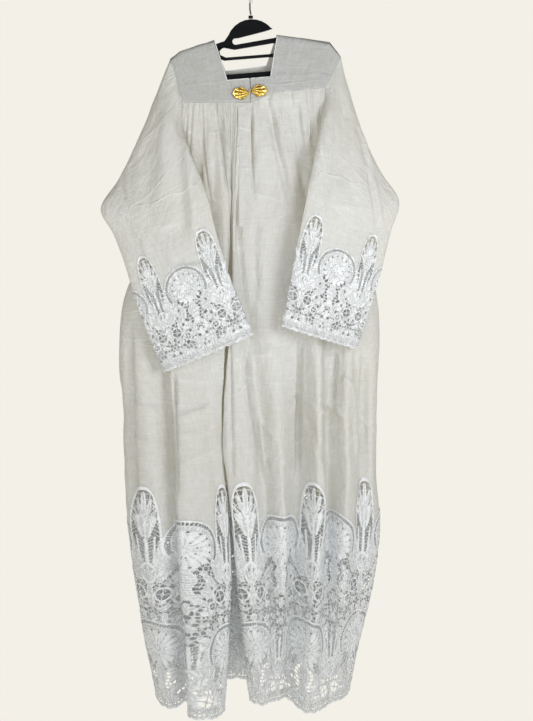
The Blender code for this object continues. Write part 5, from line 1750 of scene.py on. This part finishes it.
def make_clasp_half(context, name, centre, direction, rings=34, spokes=168):
    """A cast shell: ribs that fan out from the link to a scalloped, beaded rim, with two scrolls."""
    r = np.linspace(0, 1, rings) ** 0.8
    a = np.linspace(0, 2 * math.pi, spokes, endpoint=False)
    radius, angle = grid_points(r, a)
    lobed = ease(-0.9, -0.2, np.cos(angle))
    scallop = 0.88 + 0.12 * ribs(fan_angle(np.cos(angle), np.sin(angle))) * lobed + 0.02 * (1 - lobed)
    taper = 1.0 - 0.30 * np.clip(-np.cos(angle), 0, 1) ** 2
    x = np.cos(angle) * radius * scallop
    z = np.sin(angle) * radius * scallop * taper
    rib = ribs(fan_angle(x, z))
    tip = np.hypot(x + FAN_FOOT, z) / (1 + FAN_FOOT)
    leaf = 0.5 + 0.5 * np.cos(2 * math.pi * (tip * 3.2 - 0.35 * rib))
    dome = np.sqrt(np.clip(1 - radius**2, 0, 1)) * 0.62
    relief = 0.34 * rib**0.7 * ease(0.15, 0.5, tip) + 0.10 * leaf * ease(0.3, 0.6, tip)
    relief = relief + 0.24 * np.exp(-((radius - 0.90) / 0.05) ** 2)
    for side in (-1, 1):
        curl = np.hypot(x + 0.62, z - side * 0.30)
        relief += 0.42 * np.exp(-((curl - 0.17) / 0.06) ** 2) + 0.38 * np.exp(-(curl / 0.06) ** 2)
    relief = relief * ease(0.0, 0.10, 1 - radius)
    y = -(dome + 0.5 * relief) * CLASP_RISE * ease(0, 0.05, 1.0005 - radius) - 0.0008 * (radius < 0.999)
    points = np.stack((direction * x * CLASP_LENGTH, y, z * CLASP_HEIGHT), 1) + np.array(centre)
    quads = tube_faces(rings, spokes)
    back = (rings - 1) * spokes + np.arange(spokes)
    if direction > 0:
        quads, back = quads[:, ::-1], back[::-1]
    faces = [quads, back[None, :]]
    # the relief, kept as rise, also places the gilt's painted shade
    obj = add_mesh(name + "_shell", points, faces, None, np.clip(relief / 0.5, 0, 1))
    weld(obj)
    return finish_piece(obj, finish_of(context, "gilt"), "gilt", name)


class ALB_OT_clasp(ClothOperator, bpy.types.Operator):
    """Build the two gilt halves of the clasp and the link that joins them"""
    bl_idname = "alb.clasp"
    bl_label = "Clasp"

    def build(self, context, settings):
        for name, (centre, direction) in CLASP_HALVES.items():
            make_clasp_half(context, name, centre, direction)
        points = smooth(range(len(CLASP_LINK)), CLASP_LINK, np.linspace(0, len(CLASP_LINK) - 1, 24))
        loops = [cord_along(points, LINK_WIRE, 14)]
        a = np.linspace(0, 2 * math.pi, 28)
        ring = EYE_RADIUS * np.stack((np.cos(a), 0 * a, np.sin(a)), 1)
        for centre, direction in CLASP_HALVES.values():
            eye = np.array(centre) + np.array(EYE_PLACE) * (-direction, 1, 1)
            loops.append(cord_along(eye + ring, EYE_WIRE, 8))
        points, faces = join(loops)
        link = add_mesh("clasp_link", points, faces, None, np.full(len(points), 0.8))
        finish_piece(link, finish_of(context, "gilt"), "gilt", "clasp_hook")


class ALB_OT_hanger(ClothOperator, bpy.types.Operator):
    """Round off the plastic hanger and bend its steel hook"""
    bl_idname = "alb.hanger"
    bl_label = "Hanger"

    def build(self, context, settings):
        for name, width in (("hanger", 0.0011), ("hanger_collar", 0.0006)):
            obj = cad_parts[name]
            weld(obj)
            round_edges(obj, width, 40).harden_normals = True
            obj.data.materials.clear()
            obj.data.materials.append(finish_of(context, "black plastic"))
        a = np.radians(np.linspace(-48, 205, 90))
        bend = np.stack((0 * a, HOOK_BEND * np.cos(a), HOOK_CENTRE_Z + HOOK_BEND * np.sin(a)), 1)
        foot = ((0, 0, HOOK_FOOT_Z), (0, 0, HOOK_FOOT_Z + 0.0030), (0, 0.0040, HOOK_FOOT_Z + 0.0058))
        knots = np.concatenate((foot, bend[6::8]))
        points = smooth(range(len(knots)), knots, np.linspace(0, len(knots) - 1, 140))
        rest = points[-1] + (points[-1] - points[-2]) * 0.1
        verts, faces = cord_along(np.concatenate((points, [rest])), HOOK_WIRE, 16)
        hook = add_mesh("hook_wire", verts, faces)
        round_edges(hook, HOOK_WIRE / 2, 50)
        finish_piece(hook, finish_of(context, "steel"), "steel", "hanger_hook")


# ---------------------------------------------------------------- stage

BACKGROUND = (0.8963, 0.8714, 0.7991, 1.0)
STUDIO_TINT = (0.95, 0.955, 0.985)
ROOM_TINT = (1.0, 0.965, 0.86)
# Each light's place and the side of its square
LIGHTS = {"key": ((0.86, -1.42, -0.34), 0.7),
          "fill": ((-0.48, -1.45, -0.42), 1.0),
          "back": ((0.35, 1.90, -0.70), 1.4)}
LIT = (0, 0, -0.60)          # what they are turned to
FLOOR_Z = -1.75
CAMERA_PLACE = (-0.1659, -2.294, -0.3787)
CAMERA_TURN = -5.0           # degrees to the side
CAMERA_TILT = -10.9          # degrees down


def area_light(name, place, size, power):
    """A square studio light that is turned to the robe."""
    light = bpy.data.lights.new(name, "AREA")
    light.shape = "SQUARE"
    light.size = size
    light.energy = power
    light.color = STUDIO_TINT
    obj = bpy.data.objects.new(name, light)
    obj.location = place
    obj.rotation_euler = (Vector(LIT) - Vector(place)).to_track_quat("-Z", "Y").to_euler()
    bpy.context.scene.collection.objects.link(obj)


class ALB_OT_stage(bpy.types.Operator):
    """Set the camera, the soft studio light, the pale backdrop and the floor"""
    bl_idname = "alb.stage"
    bl_label = "Stage"
    bl_options = {"REGISTER", "UNDO"}

    def execute(self, context):
        scene = context.scene
        camera = bpy.data.cameras.new("camera")
        camera.lens = 50
        camera.sensor_fit = "AUTO"
        camera.sensor_width = 36
        eye = bpy.data.objects.new("camera", camera)
        eye.location = CAMERA_PLACE
        eye.rotation_euler = (math.radians(90 + CAMERA_TILT), 0, math.radians(CAMERA_TURN))
        scene.collection.objects.link(eye)
        scene.camera = eye
        scene.view_settings.view_transform = "Standard"
        for name, (place, size) in LIGHTS.items():
            area_light(name, place, size, getattr(scene.alb_stage, name))
        self.backdrop(scene, scene.alb_stage.world)
        self.floor(scene)
        return {"FINISHED"}

    def backdrop(self, scene, strength):
        """A world of one colour in the picture, which lights the object more weakly."""
        world = bpy.data.worlds.new("studio")
        world.use_nodes = True
        tree = world.node_tree
        tree.nodes.clear()
        seen = tree.nodes.new("ShaderNodeBackground")
        seen.inputs[0].default_value = BACKGROUND
        lit = tree.nodes.new("ShaderNodeBackground")
        lit.inputs[0].default_value = (*ROOM_TINT, 1.0)
        lit.inputs[1].default_value = strength
        path = tree.nodes.new("ShaderNodeLightPath")
        choose = tree.nodes.new("ShaderNodeMixShader")
        output = tree.nodes.new("ShaderNodeOutputWorld")
        tree.links.new(path.outputs["Is Camera Ray"], choose.inputs[0])
        tree.links.new(lit.outputs[0], choose.inputs[1])
        tree.links.new(seen.outputs[0], choose.inputs[2])
        tree.links.new(choose.outputs[0], output.inputs[0])
        scene.world = world

    def floor(self, scene):
        """A pale floor below the hem, as bright as the backdrop."""
        bm = bmesh.new()
        bmesh.ops.create_circle(bm, cap_ends=True, segments=96, radius=14.0)
        mesh = bpy.data.meshes.new("floor")
        bm.to_mesh(mesh)
        bm.free()
        floor = bpy.data.objects.new("floor", mesh)
        floor.location = (0, 0, FLOOR_Z)
        scene.collection.objects.link(floor)
        material = bpy.data.materials.new("floor")
        material.use_nodes = True
        shader = material.node_tree.nodes["Principled BSDF"]
        shader.inputs["Base Color"].default_value = (0.0, 0.0, 0.0, 1.0)
        shader.inputs["Specular IOR Level"].default_value = 0.0
        shader.inputs["Emission Color"].default_value = BACKGROUND
        shader.inputs["Emission Strength"].default_value = 1.0
        mesh.materials.append(material)
        return floor


# ---------------------------------------------------------------- the add-on


class ALB_PT_panel(bpy.types.Panel):
    """Builds the robe piece by piece"""
    bl_idname = "ALB_PT_panel"
    bl_label = "Alb Robe"
    bl_space_type = "VIEW_3D"
    bl_region_type = "UI"
    bl_category = "Alb Robe"

    def draw(self, context):
        for operator in OPERATORS:
            self.layout.operator(operator.bl_idname)
        for group in (context.scene.alb_cloth, context.scene.alb_finish, context.scene.alb_stage):
            box = self.layout.box()
            for name in group.__annotations__:
                box.prop(group, name)


OPERATORS = (ALB_OT_hanger, ALB_OT_yoke, ALB_OT_body, ALB_OT_hem, ALB_OT_sleeves, ALB_OT_stitching,
             ALB_OT_clasp, ALB_OT_stage)
GROUPS = {"alb_cloth": AlbClothSettings, "alb_finish": AlbFinishSettings, "alb_stage": AlbStageSettings}


def register():
    for group in GROUPS.values():
        bpy.utils.register_class(group)
    for name, group in GROUPS.items():
        setattr(bpy.types.Scene, name, PointerProperty(type=group))
    for operator in OPERATORS:
        bpy.utils.register_class(operator)
    bpy.utils.register_class(ALB_PT_panel)


def unregister():
    bpy.utils.unregister_class(ALB_PT_panel)
    for operator in reversed(OPERATORS):
        bpy.utils.unregister_class(operator)
    for name in GROUPS:
        delattr(bpy.types.Scene, name)
    for group in reversed(GROUPS.values()):
        bpy.utils.unregister_class(group)


def main():
    register()
    bpy.ops.alb.hanger()
    bpy.ops.alb.yoke()
    bpy.ops.alb.body()
    bpy.ops.alb.hem()
    bpy.ops.alb.sleeves()
    bpy.ops.alb.stitching()
    bpy.ops.alb.clasp()
    bpy.ops.alb.stage()


if __name__ == "__main__":
    main()
